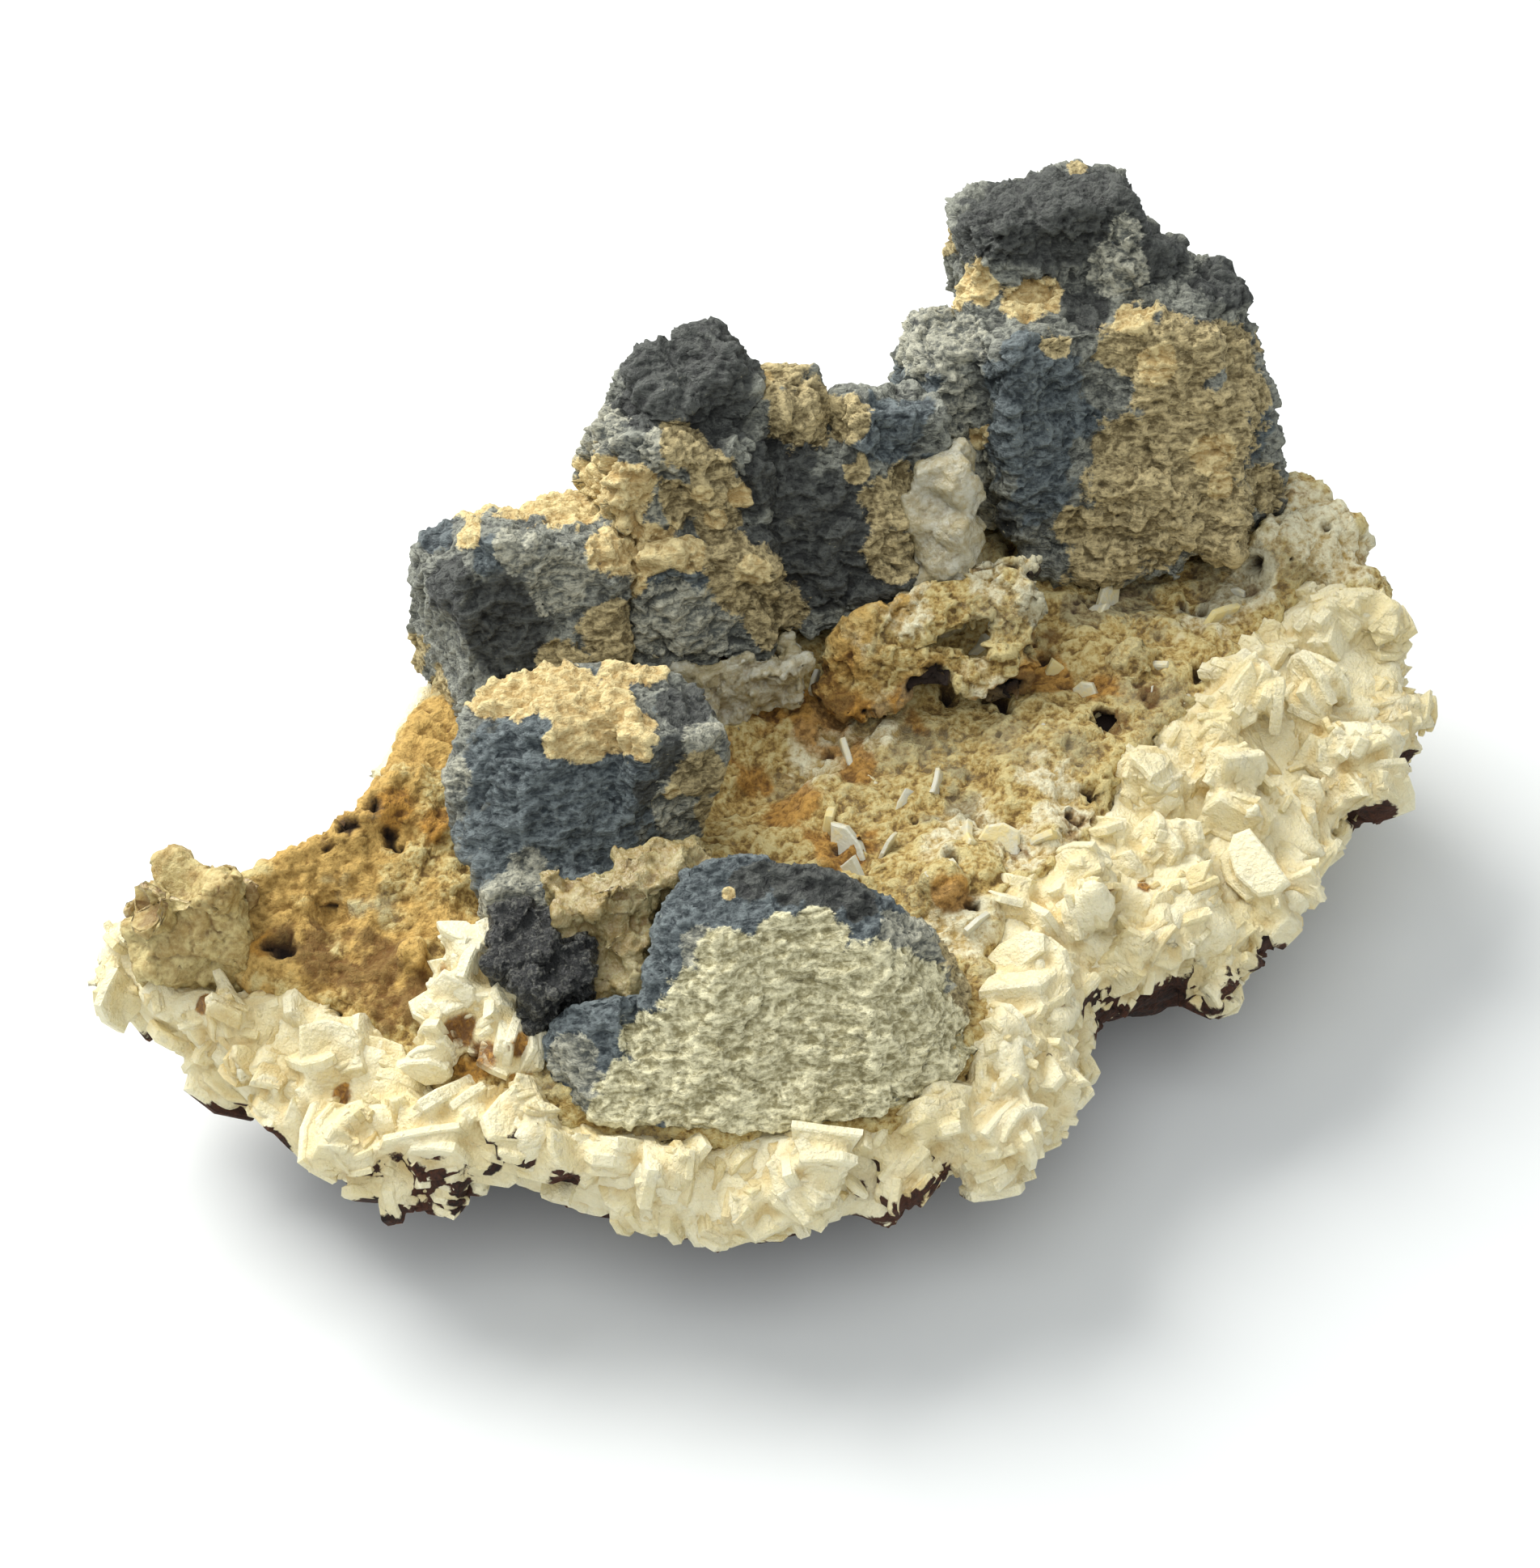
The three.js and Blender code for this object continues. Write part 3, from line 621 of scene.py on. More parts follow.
def dress_galena(node, seed):
    """Height = strength x (lumps + broken) + wrinkles + clods, all in mm along the normal:
    lumps are waves 7 mm wide, broken is steps and mounds 3.6 and 1.3 mm wide, wrinkles are
    ridges stretched sideways, and clods stand up where the ochre mask is above 0."""
    strength, rounding = GALENA_RELIEF[node]
    mesh = fused([shell_of(node)], GALENA_VOXEL, round(2 * (rounding / GALENA_VOXEL) ** 2))
    points, normals = read_points(mesh)
    ragged = 0.5 * rough(points, 2.6, 4, seed + 40, 0.7)
    masks = {
        look: soft_step(patch(points, node, spots, 0.5) + ragged, -0.5, 0.5)
        for look, spots in GALENA_SPOTS_PX[node].items()
    }
    lumps = 0.9 * rough(points, 7.0, 5, seed, 0.6)
    steps, mounds = breaks(points, 3.6, seed + 9)
    chips, grain = breaks(points, 1.3, seed + 19)
    wrinkles = 0.2 * ridges((points + 0.8 * lumps[:, None]) * GRAIN_STRETCH, 1.2, 3, seed)
    clods = masks["ochre"] * (0.3 + 0.3 * rough(points, 0.9, 2, seed + 60))
    broken = 0.5 * steps + 0.12 * mounds + 0.26 * chips + 0.15 * grain
    height = strength * (lumps + broken) + wrinkles + clods
    write_points(mesh, points + normals * height[:, None])
    for look, values in masks.items():
        write_mask(mesh, look, values)
    # The relief and hollow masks carry painted highlight and painted shade into the finish.
    standing = relief(mesh, 30)
    write_mask(mesh, "relief", soft_step(standing, -0.35, 0.35))
    write_mask(mesh, "hollow_shade", soft_step(-standing, 0.25, 0.65))
    return present("skin_" + node, mesh, galena, [node])


for number, galena_node in enumerate(GALENA_SPOTS_PX):
    dress_galena(galena_node, 100 * (number + 1))

# %% [markdown]
# The crust is what is left of rock that water ate away: crumbly, full of pits, cream where it
# is clean, ochre and orange where iron soaked in, with painted shade at the bottom of each
# hole. A sponge of real holes would need many more faces, so its relief is made of the same
# waves and breaks, with pits pressed in at places read from the photo, and the finish paints
# shade on what lies low.

# %% Finish for the crust
CREAM = paint(224, 207, 146)
TAN = paint(192, 162, 94)
TAN_DARK = paint(128, 100, 52)
IRON = paint(202, 148, 60)
IRON_DARK = paint(110, 72, 28)
PALE_CREAM = paint(250, 244, 208)
GREY_GRIT = paint(150, 146, 120)
WING_DARK = paint(152, 117, 54)
WING = paint(222, 184, 106)
# Painted shade at the bottom of pits and hollows.
PIT_SHADE = paint(40, 27, 18)


def crust_finish():
    """The nap = 0.7 relief + 1.4 sand + 0.3 clumps runs from dark to light tan: its relief part
    paints shade on low and light on raised points. The other colours lie over it where their
    mask + noise is high, dark specks paint shade into pinholes, and hollows get painted shade
    at the end."""
    finish = Finish("tan_crust", roughness=0.95)
    fine = finish.noise(0.4, 4, distort=0.4)
    clump = finish.noise(2.6, 4)
    cloud = finish.noise(9.0, 3)
    sand = finish.noise(0.55, 5)
    # The relief share paints shade on low and light on raised points; sand and clumps are grain.
    nap_and_relief_shade = (finish.mask("relief") * 0.7 + sand * 1.4 + clump * 0.3).step(0.85, 1.55)
    colour = finish.blend(nap_and_relief_shade.step(0.0, 0.5), TAN_DARK, finish.blend(nap_and_relief_shade.step(0.4, 1.0), TAN, CREAM))
    colour = finish.blend((cloud + fine * 0.3).step(0.66, 0.84) * 0.5, colour, GREY_GRIT)
    cream = (finish.mask("cream") + clump * 0.5 - 0.25).step(0.3, 0.8)
    colour = finish.blend(cream, colour, finish.blend(nap_and_relief_shade, TAN, PALE_CREAM))
    wing = (finish.mask("wing") + fine * 0.5 - 0.25).step(0.3, 0.8)
    colour = finish.blend(wing, colour, finish.blend(nap_and_relief_shade, WING_DARK, WING))
    stained = (finish.mask("iron") + clump * 0.8 + fine * 0.5 - 0.65).step(0.25, 0.75)
    colour = finish.blend(stained * 0.88, colour, finish.blend(nap_and_relief_shade, IRON_DARK, IRON))
    brown = (finish.mask("brown") + clump * 0.9 + fine * 0.5 - 0.7).step(0.3, 0.8)
    colour = finish.blend(brown * 0.85, colour, finish.blend(nap_and_relief_shade, IRON_DARK, TAN_DARK))
    # Dark specks: painted shade of pinholes that the skin doesn't have.
    pinhole_shade = (1.0 - sand - fine * 0.5).step(0.36, 0.52)
    colour = finish.blend(pinhole_shade * 0.6, colour, TAN_DARK)
    grey = (finish.mask("grey") + fine - 0.5).step(0.35, 0.8)
    colour = finish.blend(grey * 0.5, colour, finish.blend(nap_and_relief_shade, SLATE, GREY_GRIT))
    # Painted shade in the pits and hollows.
    finish.feed("Base Color", finish.blend(finish.mask("hollow_shade"), colour, PIT_SHADE))
    finish.bump(sand * 1.0 + fine * 0.5, 0.6)
    return finish.material


crust = crust_finish()
print(crust.name, "has", len(crust.node_tree.nodes), "nodes")

# %% [markdown]
# The same treatment serves the crust in the bowl and the thin ledge over its hollow. The ledge
# gets a finer skin and higher steps, because there the crust has split into small shelves.

# %% The crust that fills the bowl, and the ledge that hangs over its hollow
CRUST_VOXEL = 0.4
PIT_DEPTH_MM = 2.2
CRUST_SPOTS_PX = {
    "iron": [
        (940, 865, 60), (880, 860, 40), (1000, 880, 36), (980, 1000, 34), (1030, 1040, 40),
        (940, 960, 24), (1180, 1100, 24), (1360, 850, 20), (620, 1290, 40), (1290, 830, 26),
        (1130, 890, 24), (1060, 940, 30), (500, 990, 20), (540, 1010, 30), (330, 1170, 14),
    ],
    "brown": [
        (440, 1230, 55), (480, 1280, 50), (400, 1180, 34), (520, 1240, 30), (350, 1170, 18),
        (1250, 1050, 20), (1365, 890, 18), (1300, 790, 16), (1420, 860, 14),
    ],
    "grey": [
        (1165, 935, 22), (1180, 985, 20), (1500, 730, 36), (1400, 745, 40), (1340, 760, 26),
        (1560, 700, 30), (1150, 1010, 16),
    ],
    "cream": [
        (1650, 680, 80), (1590, 640, 60), (1560, 720, 50), (1500, 760, 40), (1260, 1050, 44),
        (1300, 980, 36), (1180, 1030, 40), (1000, 930, 50), (1100, 900, 44), (1200, 1150, 50),
        (1230, 720, 30), (1120, 760, 36), (1060, 800, 24),
    ],
    "wing": [
        (400, 1080, 140), (480, 980, 110), (560, 920, 70), (340, 1180, 90), (450, 1220, 130),
        (260, 1180, 60),
    ],
}
PITS_PX = [
    (480, 1040, 16), (352, 1172, 14), (1252, 1048, 15), (1180, 1056, 11), (1480, 832, 12),
    (1345, 722, 22), (1475, 742, 17), (1210, 1120, 10), (1365, 892, 13), (1545, 700, 12),
    (1130, 1010, 10), (1288, 812, 12), (1420, 800, 10), (1240, 870, 26), (1160, 850, 24),
    (1250, 690, 24), (900, 1000, 9), (1060, 1090, 9), (430, 960, 12), (540, 980, 10),
    (410, 1120, 10), (1090, 1130, 10), (1310, 1090, 12), (1350, 980, 10), (1440, 930, 9),
    (1600, 690, 11), (1640, 650, 9), (1580, 640, 10),
]


def dress_crust(node, name, seed, voxel, strength, ledges=0.0):
    """Height = strength x (lumps 6.5 mm wide + knobs + wrinkles + grit) - pits, in mm along
    the normal: knobs are broken steps and mounds 3.4 and 1.5 mm wide, and ledges is what the
    steps get on top of their usual height."""
    mesh = fused([shell_of(node)], voxel, 2)
    points, normals = read_points(mesh)
    ragged = 0.9 * rough(points, 4.0, 4, seed + 40, 0.7)
    lumps = 0.9 * rough(points, 6.5, 5, seed, 0.55)
    steps, mounds = breaks(points, 3.4, seed + 9)
    chips, grain = breaks(points, 1.5, seed + 19)
    knobs = (0.32 + ledges) * steps + 0.1 * mounds + (0.16 + ledges / 2) * chips + 0.1 * grain
    wrinkles = 0.12 * ridges(points + 0.6 * ragged[:, None], 2.4, 2, seed)
    grit = 0.22 * rough(points, 1.2, 2, seed + 20)
    pits = soft_step(patch(points, node, PITS_PX, 1.0) + 1.1 * ragged + 0.5 * steps, 0.1, 1.1)
    height = strength * (lumps + knobs + wrinkles + grit) - PIT_DEPTH_MM * pits
    write_points(mesh, points + normals * height[:, None])
    for look, spots in CRUST_SPOTS_PX.items():
        write_mask(mesh, look, soft_step(patch(points, node, spots, 0.9) + ragged, -0.9, 1.1))
    # The relief and hollow masks carry painted light and painted shade into the finish.
    standing = relief(mesh)
    write_mask(mesh, "relief", soft_step(standing, -0.5, 0.45))
    write_mask(mesh, "hollow_shade", np.clip(pits * 1.1 + 0.7 * soft_step(-standing, 0.4, 0.9), 0, 1))
    return present(name, mesh, crust, [node])


dress_crust("tan_crust", "skin_tan_crust", 900, CRUST_VOXEL, 1.0)
dress_crust("crust_ledge", "skin_crust_ledge", 950, 0.24, 0.7, 0.6)

# %% [markdown]
# The white mineral grows as thick blades with four blunt corners, in packs that lie almost
# side by side like the pages of a half-open book. They are milky, so light goes a little way
# in: that is the subsurface part of their finish. They are whiter at their tips, partly by
# painted light on what stands out, and yellow at their roots, where painted shade fills the
# clefts between them.

# %% Finish for the white blades
# White goes where a blade stands out, partly as painted highlight; yellow at the roots is painted
# shade in the clefts.
BLADE_WHITE = paint(244, 236, 200)
BLADE_CREAM = paint(234, 219, 168)
BLADE_YELLOW = paint(204, 172, 100)
BLADE_RUST = paint(190, 138, 54)
BLADE_RUST_DARK = paint(112, 70, 20)
SKIN_BROWN = paint(72, 40, 24)
SKIN_DARK = paint(30, 20, 14)


def blade_finish():
    """Cream, white where a point stands out (partly painted highlight), yellow at the roots
    (painted shade in the clefts), then rust and the brown skin by their masks + noise."""
    finish = Finish("white_blades", roughness=0.5, subsurface_weight=0.2)
    finish.milky(1.2)
    fine = finish.noise(0.45, 4)
    cloud = finish.noise(6.0, 3)
    warm = finish.noise(11.0, 4)
    streak = finish.noise(0.8, 3, stretch=(1, 1, 3))
    stands = finish.mask("relief")
    # Whiter where a point stands out: partly painted highlight, partly clouds. Yellow at the roots:
    # painted shade in the clefts, varied by noise.
    clean_and_lit = (stands * 0.5 + cloud * 0.9 + fine * 0.5).step(0.7, 1.3)
    colour = finish.blend(clean_and_lit, BLADE_CREAM, BLADE_WHITE)
    root = (0.9 - stands + cloud * 0.5 + fine * 0.5 + warm * 0.8 - 0.9).step(0.35, 1.0)
    colour = finish.blend(root * 0.8, colour, BLADE_YELLOW)
    rust = (finish.mask("rust") - stands * 0.3 + cloud * 0.5 + fine * 0.4).step(0.75, 1.15)
    rusted = finish.blend((fine + cloud * 0.7).step(0.7, 1.1), BLADE_RUST_DARK, BLADE_RUST)
    colour = finish.blend(rust * 0.96, colour, rusted)
    brown = finish.blend((fine + cloud * 0.8).step(0.7, 1.1), SKIN_DARK, SKIN_BROWN)
    skin = (finish.mask("skin") + cloud * 0.8 + fine * 0.5 - 0.65).step(0.4, 0.58)
    finish.feed("Base Color", finish.blend(skin, colour, brown))
    finish.feed("Roughness", (fine * 0.4 + skin * 0.5 + 0.3).step(0.0, 1.0))
    finish.bump(fine * 0.9 + streak * 0.5, 0.45)
    return finish.material


white = blade_finish()
print(white.name, "has", len(white.node_tree.nodes), "nodes")

# %% [markdown]
# Under the blades lies the bowl itself. Little of it shows between them, but its underside
# does from below, where a thin brown skin covers it. It needs no blades there, only lumps and
# knobs, and the spot that it rests on has to stay flat.

# %% The bowl that the blades stand on
BOWL_VOXEL = 0.62
SKIN_SPOTS_PX = [
    (350, 1400, 24), (490, 1475, 44), (540, 1465, 40), (600, 1425, 24), (650, 1420, 22),
    (1010, 1525, 34), (1100, 1470, 36), (1150, 1450, 24), (1360, 1250, 34), (1430, 1240, 40),
    (1500, 1215, 36), (1560, 1175, 26), (1685, 1000, 34), (1740, 940, 16), (565, 1310, 18),
    (700, 1450, 18), (1300, 1280, 22),
]
RUST_SPOTS_PX = [
    (572, 1272, 22), (600, 1305, 20), (640, 1290, 14), (560, 1320, 14), (250, 1240, 14),
    (262, 1200, 12), (318, 1215, 12), (425, 1352, 12), (1370, 1105, 9), (1306, 1240, 9),
    (1414, 1098, 9),
]
UNDERSIDE_MM = (9, 16)  # the underside's skin is whole below the first height, gone at the second
FLAT_SPOT_MM = (0.2, 2.5)  # no relief below the first height, and all of it above the second


def rusty(points):
    """The larger of two masks: the rust spots laid on the bowl, and on the spray over it."""
    on_bowl = patch(points, "white_bladed_bed", RUST_SPOTS_PX, 0.8)
    on_spray = patch(points, "white_spray", RUST_SPOTS_PX, 0.8)
    return soft_step(np.maximum(on_bowl, on_spray), -0.8, 0.6)


def coated(points, normals, seed):
    """Where the thin brown skin lies: on what faces down and lies low, and at the spots on the
    edge that don't face up. Waves 5 mm wide make it patchy."""
    low = 1 - soft_step(points[:, 2], *UNDERSIDE_MM)
    under = soft_step(-normals[:, 2], 0.2, 0.6) * low
    spots = soft_step(patch(points, "white_bladed_bed", SKIN_SPOTS_PX, 0.6), -0.7, 0.5)
    spots *= soft_step(-normals[:, 2], -0.6, 0.0)
    ragged = 0.5 * rough(points, 5.0, 4, seed + 5, 0.6)
    return np.clip(under * (0.85 + 0.9 * ragged) + 0.95 * spots, 0, 1)


def dress_bowl(seed):
    """Height = waves 6 mm wide + knobs 2.6 mm apart + steps and mounds 3.4 mm wide, in mm along
    the normal; it fades out near the flat spot that the specimen rests on."""
    mesh = fused([shell_of("white_bladed_bed")], BOWL_VOXEL, 1)
    points, normals = read_points(mesh)
    steps, mounds = breaks(points, 3.4, seed + 9)
    near, _ = crumbs(points, 2.6, seed + 9)
    height = 0.7 * rough(points, 6.0, 4, seed) + 0.4 * (0.5 - near) + 0.35 * steps + 0.2 * mounds
    height *= soft_step(points[:, 2], *FLAT_SPOT_MM)
    moved = points + normals * height[:, None]
    moved[:, 2] = np.maximum(moved[:, 2], 0.0)
    write_points(mesh, moved)
    write_mask(mesh, "skin", coated(moved, normals, seed))
    # The relief mask carries painted light and painted shade into the blades' finish.
    write_mask(mesh, "relief", soft_step(relief(mesh), -0.6, 0.4))
    write_mask(mesh, "rust", rusty(points))
    return present("bowl_body", mesh, white, ["white_bladed_bed"])


dress_bowl(1200)

# %% [markdown]
# Each blade is one surface of two parameters: round its outline, and from the middle of its
# back over the edge to the middle of its front. One blade placed again and again would look
# stamped, so each has its own size, corners, bend and lean. All of them are worked out
# together as one array, because a thousand separate objects would be slow to make.

# %% The shape of a blade
ROUND = 8  # points round a blade's outline
OUTLINE_RINGS = [(0.9, -0.5), (1.0, -0.34), (1.0, 0.34), (0.9, 0.5)]  # radius share, height


def blade_shell(centres, frames, sizes, corner_power, bend, uneven):
    """Outline radius = (|cos|^p + |sin|^p)^(-1/p), a diamond at p = 1 and a box for large p.
    Each ring is that outline times its share, at its height times the thickness, and the
    whole is bent by bend x length^2. Each corner's radius is also multiplied by its own
    uneven number. Returns all blades' points in mm, and their faces."""
    count = len(centres)
    turn = np.linspace(0, 2 * np.pi, ROUND, endpoint=False)
    cos, sin = np.cos(turn), np.sin(turn)
    power = corner_power[:, None]
    radius = uneven * (np.abs(cos) ** power + np.abs(sin) ** power) ** (-1 / power)
    flat = np.stack([radius * cos, radius * sin], axis=2)
    rings = []
    for share, lift in OUTLINE_RINGS:
        rings.append(np.dstack([flat * share, np.full((count, ROUND), lift)]))
    poles = np.zeros((count, 2, 3))
    poles[:, :, 2] = (-0.5, 0.5)
    local = np.concatenate([poles[:, :1], *rings, poles[:, 1:]], axis=1)
    local = local * (sizes * (0.5, 0.5, 1.0))[:, None, :]
    local[..., 2] += bend[:, None] * local[..., 0] ** 2
    points = centres[:, None, :] + np.einsum("nvk,nkj->nvj", local, frames)

    first = np.arange(ROUND)
    after = (first + 1) % ROUND
    rows = 1 + ROUND * np.arange(len(OUTLINE_RINGS))
    low, high = rows[:-1, None] + first, rows[:-1, None] + after
    sides = [
        np.stack([low, high, high + ROUND], axis=2),
        np.stack([low, high + ROUND, low + ROUND], axis=2),
    ]
    last = rows[-1] + ROUND
    caps = [
        np.stack([0 * first, 1 + after, 1 + first], axis=1),
        np.stack([0 * first + last, rows[-1] + first, rows[-1] + after], axis=1),
    ]
    faces = np.concatenate([side.reshape(-1, 3) for side in sides] + caps)
    return points, (faces[None] + (np.arange(count) * (last + 1))[:, None, None]).reshape(-1, 3)


print("a blade has", ROUND * len(OUTLINE_RINGS) + 2, "points")

# %% [markdown]
# Where the blades stand is drawn from the solid's own triangles. They cover the rim's side and
# its upper band, and none grows on the crust or beside a crystal. Places drawn by chance alone
# would lie in clumps, so one that is too near to a place already taken is left out.

# %% Where the blades stand
TRIES_FOR_EACH = 12  # random points drawn for each place that is wanted
HEART_MM = np.array([-2.4, -12.2])  # the middle of the bowl in plan


def unit(vectors):
    """Each vector divided by its own length."""
    return vectors / np.maximum(np.linalg.norm(vectors, axis=-1, keepdims=True), 1e-9)


def spread_on(node, count, seed, keep, spacing):
    """Places on a solid: random points of its triangles, larger ones more often, of which
    keep(points, normals) holds, thinned so that none is nearer than spacing mm to another."""
    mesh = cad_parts[node].data
    mesh.calc_loop_triangles()
    points = read_points(mesh)[0]
    corners = points[np.array([tri.vertices for tri in mesh.loop_triangles])]
    side = np.cross(corners[:, 1] - corners[:, 0], corners[:, 2] - corners[:, 0])
    area = np.linalg.norm(side, axis=1)
    draw = np.random.default_rng(seed)
    tries = count * TRIES_FOR_EACH
    chosen = draw.choice(len(area), tries, p=area / area.sum())
    u, v = draw.random((2, tries))
    fold = u + v > 1
    u, v = np.where(fold, 1 - u, u), np.where(fold, 1 - v, v)
    base = corners[chosen]
    edge_u, edge_v = base[:, 1] - base[:, 0], base[:, 2] - base[:, 0]
    spots = base[:, 0] + u[:, None] * edge_u + v[:, None] * edge_v
    normals = unit(side[chosen])
    wanted = keep(spots, normals)
    spots, normals = spots[wanted], normals[wanted]
    taken = []
    for index, spot in enumerate(spots):
        near = np.linalg.norm(spots[taken] - spot, axis=1) if taken else np.array([spacing])
        if near.min() >= spacing:
            taken.append(index)
        if len(taken) == count:
            break
    return spots[taken], normals[taken], draw


def hidden_by(spots, others, reach):
    """True for a spot with another solid above it, or one nearer than reach mm."""
    up = Vector((0, 0, 1))
    hidden = np.zeros(len(spots), bool)
    for index, spot in enumerate(spots):
        start = Vector(spot * MM)
        hidden[index] = any(
            trees[node].ray_cast(start + up * 0.3 * MM, up, 60 * MM)[0] is not None
            or trees[node].find_nearest(start, reach * MM)[0] is not None
            for node in others
        )
    return hidden


LOW_EDGE_MM = 13.0  # no blade stands lower than this on the rim's side at the front
EDGE_RISE = 0.13  # and the line rises so much for each mm to the back
INNER_MM = 18  # none stands nearer to the heart than this
BACK_LEFT_MM = -19  # left of the heart and behind this line the crust reaches the edge
TO_CRYSTALS_MM, TO_CRUST_MM = 0.8, 0.3  # how near the crystals and the crust may come


def on_rim(spots, normals):
    """The rim's side and upper band: not the underside, not beside a crystal, not in a hole of
    the crust, and low on the back left, where the photo shows crust up to the edge."""
    out = np.linalg.norm(spots[:, :2] - HEART_MM, axis=1)
    back_left = (spots[:, 0] < 0) & (spots[:, 1] > BACK_LEFT_MM)
    behind = normals[:, 1] > 0.25
    edge = LOW_EDGE_MM + EDGE_RISE * np.where(behind, 0, np.maximum(spots[:, 1] + 20, 0))
    faces_out = normals[:, 2] > np.where(behind, -0.7, -0.3)
    high = (spots[:, 2] > edge) & faces_out & (out > INNER_MM)
    high &= ~back_left | (spots[:, 2] < np.where(behind, 21, 19))
    crystals = [node for node in trees if node not in ("white_bladed_bed", "tan_crust")]
    high[high] = ~hidden_by(spots[high], crystals, TO_CRYSTALS_MM)
    high[high] = ~hidden_by(spots[high], ["tan_crust"], TO_CRUST_MM)
    for index in np.flatnonzero(high):
        spot = Vector(spots[index] * MM)
        crust_point = trees["tan_crust"].find_nearest(spot, 4 * MM)[0]
        high[index] = crust_point is None or crust_point.z < spot.z + 1.2 * MM
    return high


def anywhere(spots, normals):
    """All of a solid but its underside."""
    return normals[:, 2] > -0.4


print("the rim's blades stand more than", INNER_MM, "mm from the bowl's middle")

# %% [markdown]
# At each place a few blades stand side by side, because the real ones grow in packs. A pack
# points out of the rim with a random turn of its own, and each blade in it slides and tips a
# little. Blades that would reach far from the solid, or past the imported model's box, are left
# out, so the rim keeps its outline.

# %% A pack of blades
STANDS_OUT_MM = 2.7  # blades with a corner farther than this from the solid are left out
BOX_LIMIT_MM = np.abs(np.array([list(corner) for corner in cad_box])).max(axis=0) / MM
BOX_LIMIT_MM += (-1.0, 1.2, 1.5)  # blades that would reach further are left out


def grow(node, count, seed, keep, spacing, length, pack, shape=(0.8, 0.3), sink=0.16, lie=1.2):
    """Packs of blades as one shell: each place carries a few blades, side by side along their
    faces' normal, turned a little from one to the next. The shape is width and thickness as
    shares of the length, sink is how far they sit back in the solid, and the larger lie is,
    the more of them lie flat on it."""
    spots, normals, draw = spread_on(node, count, seed, keep, spacing)
    count = len(spots)
    radial = np.column_stack([unit(spots[:, :2] - HEART_MM), np.full(count, 0.55)])
    out = unit(unit(radial) * 0.6 + normals)
    face = unit(np.cross(out, draw.normal(size=(count, 3))) + lie * out * draw.random((count, 1)))
    along = unit(out - face * (out * face).sum(1, keepdims=True) + 0.5 * draw.normal(size=(count, 3)))
    size = length * (0.65 + 0.6 * draw.random(count))
    centres, frames, sizes = [], [], []
    for page in range(pack):
        thick = shape[1] * size * (0.75 + 0.5 * draw.random(count))
        wide = shape[0] * size * (0.75 + 0.45 * draw.random(count))
        long = size * (0.75 + 0.4 * draw.random(count))
        page_face = unit(face + 0.12 * (page - 1) * along + 0.08 * draw.normal(size=(count, 3)))
        page_along = unit(along - page_face * (along * page_face).sum(1, keepdims=True))
        page_side = np.cross(page_face, page_along)
        across = (page - (pack - 1) / 2) * thick * 1.02
        slide = (draw.random((count, 2)) - 0.5) * size[:, None]
        moved = spots + face * across[:, None] - out * (sink * size)[:, None]
        centres.append(moved + page_side * slide[:, :1] * 0.3 + page_along * slide[:, 1:] * 0.16)
        frames.append(np.stack([page_along, page_side, page_face], axis=1))
        sizes.append(np.column_stack([long, wide, thick]))
    centres, frames, sizes = map(np.concatenate, (centres, frames, sizes))
    total = len(centres)
    corner_power = np.where(draw.random(total) < 0.5, 1.2, 4.0) * (1 + 0.3 * draw.random(total))
    uneven = 1 + 0.13 * draw.normal(size=(total, ROUND)).clip(-1.5, 1.5)
    bend = 0.02 * draw.normal(size=total)
    points, faces = blade_shell(centres, frames, sizes, corner_power, bend, uneven)
    inside = np.all(np.abs(points) <= BOX_LIMIT_MM, axis=(1, 2))
    tips = points[:, 1 + ROUND : 1 + 2 * ROUND].reshape(-1, 3) * MM
    away = np.array([trees[node].find_nearest(Vector(tip))[3] for tip in tips]) / MM
    inside &= away.reshape(total, ROUND).max(axis=1) < STANDS_OUT_MM
    faces = faces.reshape(total, -1, 3)[inside].reshape(-1, 3)
    print(node, "blades:", int(inside.sum()), "of", total)
    return points.reshape(-1, 3), faces


print("blades stay within", BOX_LIMIT_MM.round(1), "mm of the origin on each axis")

# %% [markdown]
# Real blades have no gaps between them, and their corners are crisp. A remesh alone would melt
# the corners, and single blades alone leave dark clefts. So the rim has both: the blades
# fused and softened, as a fill, and the same blades with sharp edges, which stick out of it.

# %% The blades of the rim
FILL_VOXEL = 0.45
FACES_OF_A_BLADE = ROUND * 2 * len(OUTLINE_RINGS)
PART_X_MM = 4.0  # the rim's blades are filled in two meshes, left and right of here


def dress_fill(name, shells, seed, stands_for=()):
    """The blades fused and smoothed, with waves 1.4 mm wide: it fills the clefts between them,
    and only their edges and corners stick out of it."""
    mesh = fused(shells, FILL_VOXEL, 4)
    points, normals = read_points(mesh)
    height = 0.2 * rough(points, 1.4, 2, seed) - 0.02
    write_points(mesh, points + normals * height[:, None])
    write_mask(mesh, "skin", coated(points, normals, seed))
    # The relief mask carries painted light and painted shade into the blades' finish.
    write_mask(mesh, "relief", soft_step(relief(mesh, 20), -0.5, 0.5) * 0.85)
    write_mask(mesh, "rust", rusty(points))
    return present(name, mesh, white, stands_for)


def flat_faced(shells):
    """The shells themselves, with sharp edges."""
    starts = np.cumsum([0] + [len(points) for points, _ in shells])
    points = np.concatenate([points for points, _ in shells])
    faces = np.concatenate([faces + start for start, (_, faces) in zip(starts, shells)])
    used, faces = np.unique(faces, return_inverse=True)
    mesh = bpy.data.meshes.new("blades")
    mesh.from_pydata((points[used] * MM).tolist(), [], faces.reshape(-1, 3).tolist())
    mesh.shade_smooth()
    mesh.set_sharp_from_angle(angle=math.radians(24))
    return mesh


